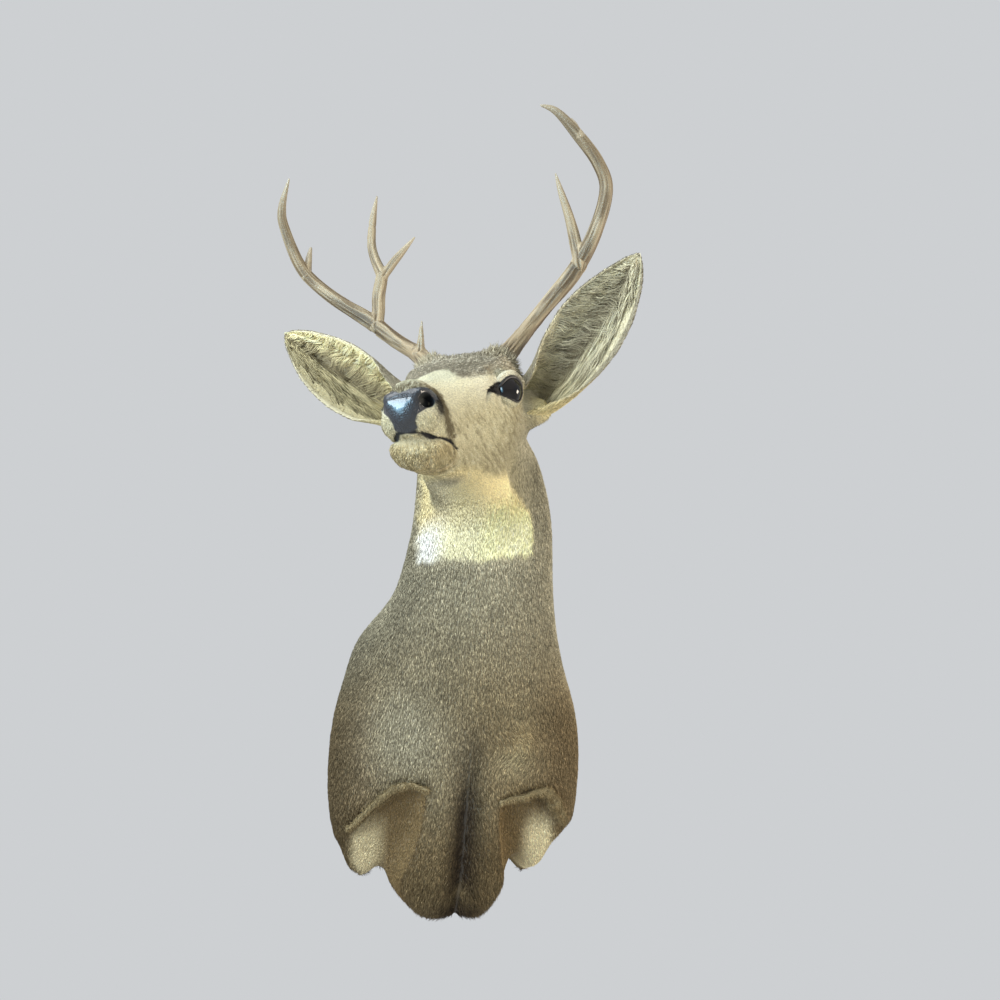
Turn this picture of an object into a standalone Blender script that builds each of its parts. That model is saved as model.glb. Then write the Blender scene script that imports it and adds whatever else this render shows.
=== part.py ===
"""Mule deer shoulder mount: solids of the mounted deer and of its backing board.

Metres, +Z up. The mount hangs on a wall in the plane Y = 0 and faces -Y. The origin is the
middle of the board's rear face. Pieces of the head are modelled in the head's own frame,
whose origin lies midway between the eyes, with -Y along the muzzle and +X on the deer's left.
"""

import math

import bmesh
import bpy
import numpy as np
from mathutils import Vector

# ---------------------------------------------------------------- driving dimensions

GAP = 0.0003  # clearance between solids that touch
BOARD_THICKNESS = 0.012
BOARD_WIDTH = 0.240
BOARD_HEIGHT = 0.290
BOARD_EASE = 0.0015  # bevel on the board's edges

HEAD_PLACE = (-0.052, -0.452, 0.328)  # midpoint between the eyes
HEAD_TURN = math.radians(-28.2)  # to the deer's right
HEAD_NOD = math.radians(26.9)  # nose down
HEAD_TILT = math.radians(5.4)  # left ear lower than the right

EYE_RADIUS = 0.0175
EYE_OUT = 0.0545  # from the midplane to an eyeball's centre
EYE_OPENING = (0.0060, 0.0185, 0.0135)  # half sizes of the gap between the lids
EYE_OPENING_PLACE = (0.0735, -0.002, 0.0)

EAR_WALL = 0.007  # an ear with its hair
EAR_ROWS = 10
EAR_COLUMNS = 11

ANTLER_SIDES = 2  # bevel resolution of the antlers' tubes
TIP_RADIUS = 0.0016

# How finely the shapes are divided.
AROUND = 28  # points round a section of the trunk, neck or head
TRUNK_RINGS = 13
NECK_RINGS = 12
HEAD_RINGS = 21
JAW_RINGS = 9
PAD_RINGS = 7
EYE_FACETS = (16, 10)  # round an eyeball, and from pole to pole
STEM_RINGS_PER_ROW = 3
OUTLINE_POINTS_PER_ROW = 2
SHARP_ANGLE = math.radians(50)
WELD = 1e-6  # points closer than this are one point

# Each row is one section of the body, from the board to the head: the lowest point of the
# section (y, z), its highest point (y, z), its half width, the sideways shift of its middle,
# where between lowest (-1) and highest (1) it is widest, and its squareness (2 is an ellipse).
BODY_SECTIONS = (
    (-0.0123, -0.205, -0.0123, 0.188, 0.163, 0.000, -0.10, 2.35),
    (-0.070, -0.236, -0.055, 0.196, 0.181, 0.000, -0.10, 2.30),
    (-0.140, -0.190, -0.095, 0.205, 0.175, 0.000, -0.06, 2.20),
    (-0.195, -0.105, -0.130, 0.224, 0.150, 0.002, -0.02, 2.10),
    (-0.240, -0.020, -0.163, 0.247, 0.127, 0.006, 0.00, 2.05),
    (-0.280, 0.055, -0.195, 0.274, 0.112, 0.009, 0.00, 2.00),
    (-0.315, 0.120, -0.230, 0.306, 0.103, 0.010, 0.00, 2.00),
    (-0.345, 0.180, -0.268, 0.345, 0.097, 0.008, 0.00, 2.00),
    (-0.365, 0.235, -0.320, 0.385, 0.086, -0.002, 0.00, 2.00),
    (-0.385, 0.285, -0.365, 0.395, 0.060, -0.010, 0.00, 2.00),
)
NECK_START = 4.0  # the section, by its place in the table, where trunk and neck part
NECK_SEAM = 0.006  # the gap between trunk and neck, in the same terms

# The underside of the mount seen from the front, from each armpit outwards and inwards: the
# end of a foreleg, the fold of the armpit, and the side of the brisket, as (x, z).
RIGHT_UNDERSIDE = (
    (-0.230, -0.118),
    (-0.170, -0.128),
    (-0.152, -0.146),
    (-0.147, -0.168),
    (-0.134, -0.184),
    (-0.115, -0.176),
    (-0.099, -0.160),
    (-0.083, -0.188),
    (-0.062, -0.214),
    (-0.038, -0.234),
    (-0.015, -0.260),
)
LEFT_UNDERSIDE = (
    (0.230, -0.100),
    (0.178, -0.112),
    (0.150, -0.128),
    (0.130, -0.146),
    (0.122, -0.164),
    (0.106, -0.178),
    (0.090, -0.168),
    (0.077, -0.153),
    (0.064, -0.186),
    (0.045, -0.216),
    (0.026, -0.234),
    (0.008, -0.260),
)
UNDERSIDE_BOTTOM = -0.320
UNDERSIDE_DEPTH = (-0.400, 0.050)

# The cut face of each foreleg: a point of it (y, z), how steeply it slopes down to the board,
# and its outline as (x, distance down the slope), from the brisket out along the hide's hem.
RIGHT_LEG_CUT = (
    (-0.170, -0.084),
    math.radians(39.5),
    (
        (-0.050, -0.017),
        (-0.084, -0.013),
        (-0.118, 0.022),
        (-0.148, 0.067),
        (-0.170, 0.095),
        (-0.300, 0.120),
        (-0.300, 0.350),
        (-0.082, 0.350),
        (-0.080, 0.125),
        (-0.066, 0.080),
        (-0.056, 0.030),
    ),
)
LEFT_LEG_CUT = (
    (-0.162, -0.098),
    math.radians(46),
    (
        (0.042, -0.015),
        (0.101, -0.015),
        (0.124, 0.008),
        (0.139, 0.037),
        (0.300, 0.060),
        (0.300, 0.350),
        (0.062, 0.350),
        (0.062, 0.110),
        (0.052, 0.060),
        (0.044, 0.020),
    ),
)
LEG_CUT_REACH = 0.30

# Each leg with its shoulder parts from the trunk in two planes: sideways and upwards.
LEG_SIDE = 0.092
LEG_TOP = 0.030
GUIDE_BLOCK = 0.80  # side of a guide block, larger than the trunk

# Each row is one section of the head: its place forward of the eyes, its top, its bottom,
# its half width, where it is widest (-1 bottom, 1 top), its squareness, and how much wider
# it grows towards the top.
HEAD_SECTIONS = (
    (-0.128, 0.020, -0.050, 0.036, 0.10, 2.0, 0.00),
    (-0.115, 0.040, -0.080, 0.056, 0.15, 2.1, 0.05),
    (-0.090, 0.056, -0.104, 0.069, 0.20, 2.1, 0.10),
    (-0.060, 0.062, -0.116, 0.0745, 0.20, 2.1, 0.14),
    (-0.030, 0.060, -0.117, 0.0755, 0.22, 2.1, 0.18),
    (0.000, 0.050, -0.108, 0.0720, 0.25, 2.1, 0.22),
    (0.030, 0.037, -0.093, 0.0620, 0.22, 2.1, 0.20),
    (0.060, 0.025, -0.079, 0.0520, 0.15, 2.1, 0.15),
    (0.090, 0.014, -0.070, 0.0440, 0.05, 2.2, 0.08),
    (0.120, 0.006, -0.065, 0.0375, 0.00, 2.3, 0.02),
    (0.145, 0.001, -0.063, 0.0335, 0.00, 2.3, 0.00),
    (0.162, -0.004, -0.061, 0.0290, 0.00, 2.2, 0.00),
    (0.172, -0.012, -0.056, 0.0200, 0.00, 2.1, 0.00),
)

# The lower jaw, in the head's terms.
JAW_SECTIONS = (
    (-0.030, -0.080, -0.114, 0.030, 0.30, 2.0, 0.20),
    (0.000, -0.070, -0.110, 0.037, 0.30, 2.0, 0.20),
    (0.040, -0.062, -0.104, 0.036, 0.30, 2.1, 0.15),
    (0.080, -0.058, -0.099, 0.033, 0.20, 2.2, 0.10),
    (0.115, -0.056, -0.097, 0.0305, 0.10, 2.3, 0.05),
    (0.140, -0.056, -0.093, 0.0265, 0.10, 2.3, 0.05),
    (0.152, -0.060, -0.084, 0.0170, 0.10, 2.1, 0.00),
)
# The bare pad of the nose.
PAD_SECTIONS = (
    (0.146, -0.010, -0.040, 0.014, 0.20, 2.2, 0.00),
    (0.152, 0.002, -0.047, 0.023, 0.25, 2.3, 0.12),
    (0.166, -0.001, -0.050, 0.0260, 0.30, 2.3, 0.18),
    (0.176, -0.009, -0.048, 0.0230, 0.30, 2.3, 0.18),
    (0.183, -0.020, -0.042, 0.0140, 0.20, 2.1, 0.05),
)

# Each row is one row of an ear, from its root to its tip: the place of the middle of its back
# (x, y, z in the head's frame, for the left ear), the radius of its curve and half the angle
# that the curve spans, in degrees.
LEFT_EAR = (
    (0.050, 0.080, -0.010, 0.020, 150),
    (0.078, 0.086, 0.000, 0.026, 140),
    (0.106, 0.094, 0.022, 0.033, 112),
    (0.134, 0.100, 0.055, 0.042, 82),
    (0.160, 0.102, 0.087, 0.047, 70),
    (0.187, 0.097, 0.117, 0.043, 64),
    (0.209, 0.087, 0.141, 0.032, 58),
    (0.224, 0.077, 0.158, 0.018, 50),
    (0.231, 0.071, 0.165, 0.006, 40),
)
RIGHT_EAR = (
    (-0.050, 0.082, -0.006, 0.020, 150),
    (-0.082, 0.088, 0.004, 0.026, 140),
    (-0.114, 0.094, 0.022, 0.033, 112),
    (-0.147, 0.098, 0.043, 0.044, 82),
    (-0.182, 0.098, 0.067, 0.049, 70),
    (-0.213, 0.092, 0.090, 0.045, 64),
    (-0.238, 0.083, 0.110, 0.034, 58),
    (-0.256, 0.074, 0.124, 0.018, 50),
    (-0.262, 0.070, 0.129, 0.006, 40),
)
EAR_FACES = (0.20, -0.96, -0.05)  # the way that the left ear's hollow opens

# The antlers: each row is a point of a stem (x, y, z in the head's frame) and its radius.
LEFT_BEAM = (
    (0.040, 0.052, 0.040, 0.0125),
    (0.051, 0.068, 0.058, 0.0125),
    (0.076, 0.098, 0.096, 0.0108),
    (0.100, 0.110, 0.125, 0.0105),
    (0.145, 0.118, 0.174, 0.0112),
    (0.176, 0.115, 0.222, 0.0100),
    (0.194, 0.102, 0.266, 0.0090),
    (0.187, 0.088, 0.297, 0.0082),
    (0.166, 0.072, 0.329, 0.0075),
    (0.143, 0.057, 0.356, 0.0048),
    (0.124, 0.048, 0.364, TIP_RADIUS),
)
LEFT_BEAM_FORK = 4.1  # where the rear tine leaves, by place in the table
LEFT_REAR_TINE = (
    (0.150, 0.117, 0.178, 0.0075),
    (0.146, 0.123, 0.215, 0.0080),
    (0.139, 0.128, 0.253, 0.0065),
    (0.131, 0.128, 0.286, 0.0045),
    (0.126, 0.125, 0.310, TIP_RADIUS),
)
LEFT_SNAG = ((0.168, 0.072, 0.328, 0.0042), (0.163, 0.079, 0.345, 0.0036), (0.157, 0.085, 0.359, TIP_RADIUS))

RIGHT_BEAM = (
    (-0.042, 0.052, 0.042, 0.0125),
    (-0.053, 0.068, 0.060, 0.0125),
    (-0.080, 0.093, 0.085, 0.0112),
    (-0.110, 0.104, 0.107, 0.0105),
    (-0.150, 0.112, 0.141, 0.0112),
    (-0.208, 0.105, 0.185, 0.0095),
    (-0.241, 0.090, 0.224, 0.0090),
    (-0.253, 0.070, 0.277, 0.0072),
    (-0.248, 0.058, 0.302, 0.0055),
    (-0.227, 0.045, 0.334, TIP_RADIUS),
)
RIGHT_BEAM_FORK = 3.9
RIGHT_STEM = (
    (-0.141, 0.111, 0.132, 0.0085),
    (-0.141, 0.119, 0.155, 0.0092),
    (-0.142, 0.127, 0.182, 0.0095),
    (-0.137, 0.133, 0.212, 0.0088),
)
RIGHT_STEM_FORK = 2.75
RIGHT_REAR_TINE = (
    (-0.137, 0.133, 0.212, 0.0088),
    (-0.149, 0.138, 0.240, 0.0072),
    (-0.154, 0.142, 0.265, 0.0066),
    (-0.150, 0.145, 0.302, 0.0052),
    (-0.142, 0.146, 0.334, TIP_RADIUS),
)
RIGHT_INNER_TINE = (
    (-0.139, 0.132, 0.205, 0.0062),
    (-0.120, 0.138, 0.230, 0.0060),
    (-0.103, 0.145, 0.250, 0.0042),
    (-0.089, 0.150, 0.266, TIP_RADIUS),
)
RIGHT_KNOB = ((-0.236, 0.094, 0.214, 0.0062), (-0.236, 0.102, 0.240, 0.0050), (-0.235, 0.110, 0.261, 0.0022))
RIGHT_BROW = ((-0.071, 0.086, 0.079, 0.0075), (-0.066, 0.080, 0.100, 0.0042), (-0.061, 0.074, 0.123, TIP_RADIUS))


# ---------------------------------------------------------------- scene and finishes


def clear_scene():
    """Removes every object that is already there."""
    for found in list(bpy.data.objects):
        bpy.data.objects.remove(found, do_unlink=True)


def collection(name):
    """A new collection in the scene."""
    made = bpy.data.collections.new(name)
    bpy.context.scene.collection.children.link(made)
    return made


def finish(name, colour, roughness, metallic=0.0):
    """A Principled material of one colour."""
    made = bpy.data.materials.new(name)
    made.use_nodes = True
    shader = made.node_tree.nodes["Principled BSDF"]
    shader.inputs["Base Color"].default_value = (*colour, 1.0)
    shader.inputs["Roughness"].default_value = roughness
    shader.inputs["Metallic"].default_value = metallic
    made.diffuse_color = (*colour, 1.0)
    return made


def add(name, mesh, home, material=None, parent=None):
    """Puts a mesh into the scene as one smooth object."""
    made = bpy.data.objects.new(name, mesh)
    home.objects.link(made)
    made.parent = parent
    if material:
        mesh.materials.append(material)
    mesh.shade_smooth()
    mesh.set_sharp_from_angle(angle=SHARP_ANGLE)
    return made


def hide(cutter):
    """Marks an object as a guide that isn't part of the model."""
    cutter.hide_render = True
    cutter.display_type = "WIRE"
    return cutter


def cut(piece, *cutters):
    """Takes each cutter's volume out of a piece."""
    for cutter in cutters:
        boolean = piece.modifiers.new("cut by " + cutter.name, "BOOLEAN")
        boolean.operation = "DIFFERENCE"
        boolean.solver = "EXACT"
        boolean.object = cutter


# ---------------------------------------------------------------- shapes


def along(table, places):
    """Rows of a table at fractional places, on a Catmull-Rom curve through its rows."""
    rows = np.array(table, float)
    padded = np.vstack((2 * rows[0] - rows[1], rows, 2 * rows[-1] - rows[-2]))
    places = np.clip(np.asarray(places, float), 0.0, len(rows) - 1.0)
    start = np.minimum(places.astype(int), len(rows) - 2)
    t = (places - start)[:, None]
    a, b, c, d = (padded[start + step] for step in range(4))
    slope_in = (c - a) / 2
    slope_out = (d - b) / 2
    return (
        (2 * t**3 - 3 * t**2 + 1) * b
        + (t**3 - 2 * t**2 + t) * slope_in
        + (3 * t**2 - 2 * t**3) * c
        + (t**3 - t**2) * slope_out
    )


def oval(count, squareness):
    """Across and up coordinates, -1 to 1, of a superellipse that starts at its top."""
    angle = np.linspace(0, 2 * math.pi, count, endpoint=False)
    power = 2.0 / squareness
    across = np.sign(np.sin(angle)) * np.abs(np.sin(angle)) ** power
    up = np.sign(np.cos(angle)) * np.abs(np.cos(angle)) ** power
    return across, up


def skin(rings):
    """A closed mesh through rings of points, with a flat face on each end."""
    rings = np.asarray(rings)
    count, around = rings.shape[:2]
    faces = []
    for ring in range(count - 1):
        for point in range(around):
            after = (point + 1) % around
            low = ring * around
            high = low + around
            faces.append((low + point, low + after, high + after))
            faces.append((low + point, high + after, high + point))
    faces.append(tuple(range(around))[::-1])
    faces.append(tuple(range((count - 1) * around, count * around)))
    mesh = bpy.data.meshes.new("loft")
    mesh.from_pydata([tuple(p) for p in rings.reshape(-1, 3)], [], faces)
    shape = bmesh.new()
    shape.from_mesh(mesh)
    bmesh.ops.recalc_face_normals(shape, faces=shape.faces)
    shape.to_mesh(mesh)
    shape.free()
    return mesh


def body_rings(places, grow=0.0):
    """Sections of the trunk and neck at places in BODY_SECTIONS."""
    rings = []
    for low_y, low_z, high_y, high_z, half, shift, widest, square in along(BODY_SECTIONS, places):
        across, up = oval(AROUND, square)
        up = up + widest * (1 - up**2)
        middle = np.array((0, (low_y + high_y) / 2, (low_z + high_z) / 2))
        reach = np.array((0, (high_y - low_y) / 2, (high_z - low_z) / 2))
        length = np.linalg.norm(reach)
        reach = reach * (length + grow) / length
        ring = middle + up[:, None] * reach
        ring[:, 0] += shift + across * (half + grow)
        rings.append(ring)
    return rings


def head_rings(table, places, grow=0.0):
    """Sections of a piece of the head, in the head's frame."""
    rings = []
    for forward, top, bottom, half, widest, square, flare in along(table, places):
        across, up = oval(AROUND, square)
        up = up + widest * (1 - up**2)
        across = across * (1 + flare * up) / (1 + flare * widest)
        ring = np.zeros((AROUND, 3))
        ring[:, 0] = across * (half + grow)
        ring[:, 1] = -forward
        ring[:, 2] = (top + bottom) / 2 + up * ((top - bottom) / 2 + grow)
        rings.append(ring)
    rings[0][:, 1] += grow
    rings[-1][:, 1] -= grow
    return rings


def steps(first, last, count):
    """Evenly spaced places between two sections."""
    return np.linspace(first, last, count)


def stem(name, table, grow=0.0):
    """A tapering round tube with closed ends through the points of a table."""
    rows = STEM_RINGS_PER_ROW * len(table)
    guide = bpy.data.curves.new(name, "CURVE")
    guide.dimensions = "3D"
    guide.bevel_depth = 1.0
    guide.bevel_resolution = ANTLER_SIDES
    guide.use_fill_caps = True
    spline = guide.splines.new("POLY")
    points = along(table, steps(0, len(table) - 1, rows))
    spline.points.add(rows - 1)
    for point, (x, y, z, radius) in zip(spline.points, points):
        point.co = (x, y, z, 1.0)
        point.radius = radius + grow
    holder = bpy.data.objects.new(name, guide)
    bpy.context.scene.collection.objects.link(holder)
    solid = holder.evaluated_get(bpy.context.evaluated_depsgraph_get())
    mesh = bpy.data.meshes.new_from_object(solid)
    bpy.data.objects.remove(holder, do_unlink=True)
    bpy.data.curves.remove(guide)
    shape = bmesh.new()
    shape.from_mesh(mesh)
    bmesh.ops.remove_doubles(shape, verts=shape.verts, dist=WELD)
    bmesh.ops.recalc_face_normals(shape, faces=shape.faces)
    shape.to_mesh(mesh)
    shape.free()
    return mesh


def stem_place(table, place):
    """The point of a stem at a fractional place, and its direction there."""
    before, point, after = (Vector(row[:3]) for row in along(table, (place - 0.05, place, place + 0.05)))
    return point, (after - before).normalized()


def keep_side(mesh, point, direction):
    """Cuts a mesh in a plane, keeps what lies along direction, and closes the cut."""
    shape = bmesh.new()
    shape.from_mesh(mesh)
    everything = shape.verts[:] + shape.edges[:] + shape.faces[:]
    bmesh.ops.bisect_plane(shape, geom=everything, plane_co=point, plane_no=direction, clear_inner=True)
    rim = [edge for edge in shape.edges if edge.is_boundary]
    bmesh.ops.holes_fill(shape, edges=rim, sides=0)
    bmesh.ops.recalc_face_normals(shape, faces=shape.faces)
    shape.to_mesh(mesh)
    shape.free()
    return mesh


def ear_sheet(table, faces):
    """The open curved sheet of an ear, each row an arc that the hollow's direction halves."""
    rows = along(table, steps(0, len(table) - 1, EAR_ROWS))
    middle = rows[:, :3]
    path = np.gradient(middle, axis=0)
    path /= np.linalg.norm(path, axis=1)[:, None]
    forward = np.array(faces, float) - path * (path @ np.array(faces, float))[:, None]
    forward /= np.linalg.norm(forward, axis=1)[:, None]
    side = np.cross(forward, path)
    angle = np.radians(rows[:, 4])[:, None] * np.linspace(-1, 1, EAR_COLUMNS)[None, :]
    radius = rows[:, 3][:, None]
    across = (radius * np.sin(angle))[:, :, None] * side[:, None, :]
    depth = (radius * (1 - np.cos(angle)))[:, :, None] * forward[:, None, :]
    points = middle[:, None, :] + across + depth
    faces = []
    for row in range(EAR_ROWS - 1):
        for column in range(EAR_COLUMNS - 1):
            low = row * EAR_COLUMNS + column
            high = low + EAR_COLUMNS
            faces.append((low, low + 1, high + 1, high))
    mesh = bpy.data.meshes.new("ear")
    mesh.from_pydata([tuple(p) for p in points.reshape(-1, 3)], [], faces)
    return mesh


def outline_block(name, outline, near, far):
    """A flat outline in X and Z, carried along Y from near to far."""
    guide = bpy.data.curves.new(name, "CURVE")
    guide.dimensions = "2D"
    guide.fill_mode = "BOTH"
    guide.extrude = (far - near) / 2
    spline = guide.splines.new("POLY")
    spline.points.add(len(outline) - 1)
    for point, (x, z) in zip(spline.points, outline):
        point.co = (x, z, 0, 1)
    spline.use_cyclic_u = True
    holder = bpy.data.objects.new(name, guide)
    bpy.context.scene.collection.objects.link(holder)
    solid = holder.evaluated_get(bpy.context.evaluated_depsgraph_get())
    mesh = bpy.data.meshes.new_from_object(solid)
    bpy.data.objects.remove(holder, do_unlink=True)
    bpy.data.curves.remove(guide)
    shape = bmesh.new()
    shape.from_mesh(mesh)
    bmesh.ops.remove_doubles(shape, verts=shape.verts, dist=WELD)
    for vert in shape.verts:
        across, up, depth = vert.co
        vert.co = (across, depth + (near + far) / 2, up)
    bmesh.ops.recalc_face_normals(shape, faces=shape.faces)
    shape.to_mesh(mesh)
    shape.free()
    return mesh


def box(size):
    """A box mesh round the origin."""
    shape = bmesh.new()
    bmesh.ops.create_cube(shape, size=1.0)
    bmesh.ops.scale(shape, vec=Vector(size), verts=shape.verts)
    mesh = bpy.data.meshes.new("box")
    shape.to_mesh(mesh)
    shape.free()
    return mesh


def ball(radii):
    """An ellipsoid mesh round the origin."""
    around, rings = EYE_FACETS
    shape = bmesh.new()
    bmesh.ops.create_uvsphere(shape, u_segments=around, v_segments=rings, radius=1.0)
    bmesh.ops.scale(shape, vec=Vector(radii), verts=shape.verts)
    mesh = bpy.data.meshes.new("ball")
    shape.to_mesh(mesh)
    shape.free()
    return mesh


# ---------------------------------------------------------------- pieces


def build_board(home):
    """The plain backing board, with its edges eased."""
    size = (BOARD_WIDTH, BOARD_THICKNESS, BOARD_HEIGHT)
    board = add("backboard", box(size), home, finish("plywood", (0.45, 0.30, 0.16), 0.7))
    board.location = (0, -BOARD_THICKNESS / 2, 0)
    ease = board.modifiers.new("eased edges", "BEVEL")
    ease.width = BOARD_EASE
    ease.segments = 1


def leg_cutter(name, guides, place, slope, outline):
    """The block that leaves a foreleg's cut face, set back a little from the hide's hem."""
    loop = [(across, -down) for across, down in outline]
    block = hide(add(name, outline_block(name, loop, -LEG_CUT_REACH, 0.0), guides))
    block.location = (0, *place)
    block.rotation_euler = (math.pi / 2 - slope, 0, 0)
    return block


def underside_cutter(name, guides, outline):
    """What lies below the outline of a leg's end, an armpit and a side of the brisket."""
    rows = along(outline, steps(0, len(outline) - 1, OUTLINE_POINTS_PER_ROW * len(outline)))
    loop = [tuple(row) for row in rows]
    loop += [(outline[-1][0], UNDERSIDE_BOTTOM), (outline[0][0], UNDERSIDE_BOTTOM)]
    return hide(add(name, outline_block(name, loop, *UNDERSIDE_DEPTH), guides))


def guide_block(name, guides, *centre):
    """A large block that parts one piece from another along one of its sides."""
    block = hide(add(name, box((GUIDE_BLOCK,) * 3), guides))
    block.location = centre
    return block


def build_trunk(home, guides, coat):
    """The trunk, and each foreleg's stump with its shoulder, parted by thin cuts."""
    places = steps(0, NECK_START, TRUNK_RINGS)
    half = GUIDE_BLOCK / 2
    cutters = (
        leg_cutter("right leg cut", guides, *RIGHT_LEG_CUT),
        leg_cutter("left leg cut", guides, *LEFT_LEG_CUT),
        underside_cutter("right underside", guides, RIGHT_UNDERSIDE),
        underside_cutter("left underside", guides, LEFT_UNDERSIDE),
    )
    trunk = add("trunk", skin(body_rings(places)), home, coat)
    for name, outwards in (("left", 1), ("right", -1)):
        room_x = outwards * (LEG_SIDE - GAP + half)
        room = guide_block("room of " + name, guides, room_x, 0, LEG_TOP + GAP - half)
        inner = guide_block("core of " + name, guides, outwards * (LEG_SIDE - half), 0, 0)
        above = guide_block("above " + name, guides, 0, 0, LEG_TOP + half)
        leg = add("foreleg_" + name, skin(body_rings(places)), home, coat)
        cut(leg, inner, above, *cutters)
        cut(trunk, room)
    cut(trunk, *cutters)


def build_head(home, guides, coat, pose):
    """The neck, head, lower jaw, nose pad and eyes, each clear of its neighbour."""
    black = finish("bare nose", (0.012, 0.012, 0.014), 0.25)
    glass = finish("glass eye", (0.010, 0.008, 0.007), 0.03)
    neck_places = steps(NECK_START + NECK_SEAM, len(BODY_SECTIONS) - 1, NECK_RINGS)
    head_places = steps(0, len(HEAD_SECTIONS) - 1, HEAD_RINGS)
    jaw_places = steps(0, len(JAW_SECTIONS) - 1, JAW_RINGS)
    pad_places = steps(0, len(PAD_SECTIONS) - 1, PAD_RINGS)

    neck = add("neck", skin(body_rings(neck_places)), home, coat)
    head = add("head", skin(head_rings(HEAD_SECTIONS, head_places)), home, coat, pose)
    jaw = add("lower_jaw", skin(head_rings(JAW_SECTIONS, jaw_places)), home, coat, pose)
    add("nose_pad", skin(head_rings(PAD_SECTIONS, pad_places)), home, black, pose)

    around_head = skin(head_rings(HEAD_SECTIONS, head_places, GAP))
    head_room = hide(add("room of head", around_head, guides, parent=pose))
    around_jaw = skin(head_rings(JAW_SECTIONS, jaw_places, GAP))
    jaw_room = hide(add("room of jaw", around_jaw, guides, parent=pose))
    around_pad = skin(head_rings(PAD_SECTIONS, pad_places, GAP))
    pad_room = hide(add("room of pad", around_pad, guides, parent=pose))
    cut(neck, head_room, jaw_room)
    cut(jaw, head_room)
    cut(head, pad_room)
    for name, outwards in (("left", 1), ("right", -1)):
        eye = add("eye_" + name, ball((EYE_RADIUS,) * 3), home, glass, pose)
        eye.location = (outwards * EYE_OUT, 0, 0)
        socket = hide(add("socket " + name, ball((EYE_RADIUS + GAP,) * 3), guides, parent=pose))
        socket.location = eye.location
        lids = hide(add("lids " + name, ball(EYE_OPENING), guides, parent=pose))
        lids.location = (outwards * EYE_OPENING_PLACE[0], *EYE_OPENING_PLACE[1:])
        cut(head, socket, lids)
    return head_room


def build_ears(home, coat, pose, head_room):
    """Two cupped ears, each a sheet given its thickness, rooted against the head."""
    for name, table, outwards in (("left", LEFT_EAR, 1), ("right", RIGHT_EAR, -1)):
        opens = (EAR_FACES[0] * outwards, EAR_FACES[1], EAR_FACES[2])
        ear = add("ear_" + name, ear_sheet(table, opens), home, coat, pose)
        wall = ear.modifiers.new("wall", "SOLIDIFY")
        wall.thickness = EAR_WALL
        wall.offset = 0
        wall.use_even_offset = False
        cut(ear, head_room)


def build_antlers(home, guides, pose, head_room):
    """Both antlers, split at their main forks. A tine stops at the stem that it grows from."""
    bone = finish("antler", (0.42, 0.31, 0.17), 0.55)
    stems = (
        ("left", LEFT_BEAM, LEFT_BEAM_FORK, "antler_left_beam", "antler_left_tip"),
        ("right", RIGHT_BEAM, RIGHT_BEAM_FORK, "antler_right_beam", "antler_right_tip"),
    )
    rooms = {}
    for side, table, fork, lower_name, upper_name in stems:
        point, way = stem_place(table, fork)
        lower = add(lower_name, keep_side(stem(lower_name, table), point, -way), home, bone, pose)
        step = point + way * GAP
        add(upper_name, keep_side(stem(upper_name, table), step, way), home, bone, pose)
        cut(lower, head_room)
        rooms[side] = hide(add("room of " + side + " beam", stem(side, table, GAP), guides, parent=pose))

    point, way = stem_place(RIGHT_STEM, RIGHT_STEM_FORK)
    lower_stem = keep_side(stem("stem", RIGHT_STEM), point, -way)
    cut(add("antler_right_stem", lower_stem, home, bone, pose), rooms["right"])
    upper_stem = keep_side(stem("rear", RIGHT_REAR_TINE), point + way * GAP, way)
    add("antler_right_rear_tine", upper_stem, home, bone, pose)
    stem_room = hide(add("room of stem", stem("stem", RIGHT_STEM, GAP), guides, parent=pose))
    rear_room = hide(add("room of rear tine", stem("rear", RIGHT_REAR_TINE, GAP), guides, parent=pose))

    tines = (
        ("antler_left_rear_tine", LEFT_REAR_TINE, (rooms["left"],)),
        ("antler_left_snag", LEFT_SNAG, (rooms["left"],)),
        ("antler_right_inner_tine", RIGHT_INNER_TINE, (stem_room, rear_room)),
        ("antler_right_knob", RIGHT_KNOB, (rooms["right"],)),
        ("antler_right_brow", RIGHT_BROW, (rooms["right"], head_room)),
    )
    for name, table, neighbours in tines:
        cut(add(name, stem(name, table), home, bone, pose), *neighbours)


def main():
    """Builds the whole mount."""
    clear_scene()
    home = collection("deer_shoulder_mount")
    guides = collection("cutters")
    coat = finish("coat", (0.22, 0.17, 0.11), 0.85)

    pose = bpy.data.objects.new("head_pose", None)
    home.objects.link(pose)
    pose.rotation_mode = "YXZ"
    pose.location = HEAD_PLACE
    pose.rotation_euler = (HEAD_NOD, HEAD_TILT, HEAD_TURN)

    build_board(home)
    build_trunk(home, guides, coat)
    head_room = build_head(home, guides, coat, pose)
    build_ears(home, coat, pose, head_room)
    build_antlers(home, guides, pose, head_room)


main()
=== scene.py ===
"""The dressed deer shoulder mount: hide, coat, antlers, nose, glass eyes and board.

Metres, +Z up. The wall is the plane Y = 0 and the deer faces -Y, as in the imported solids.
The head's own frame has its origin midway between the eyes, -Y along the muzzle and +X on
the deer's left; "forward" below is -Y of that frame.
"""

from __future__ import annotations

import logging
import math
from dataclasses import dataclass
from enum import Enum
from typing import Iterator, Sequence

import bpy
import numpy as np
from mathutils import Euler, Matrix, Vector


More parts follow.
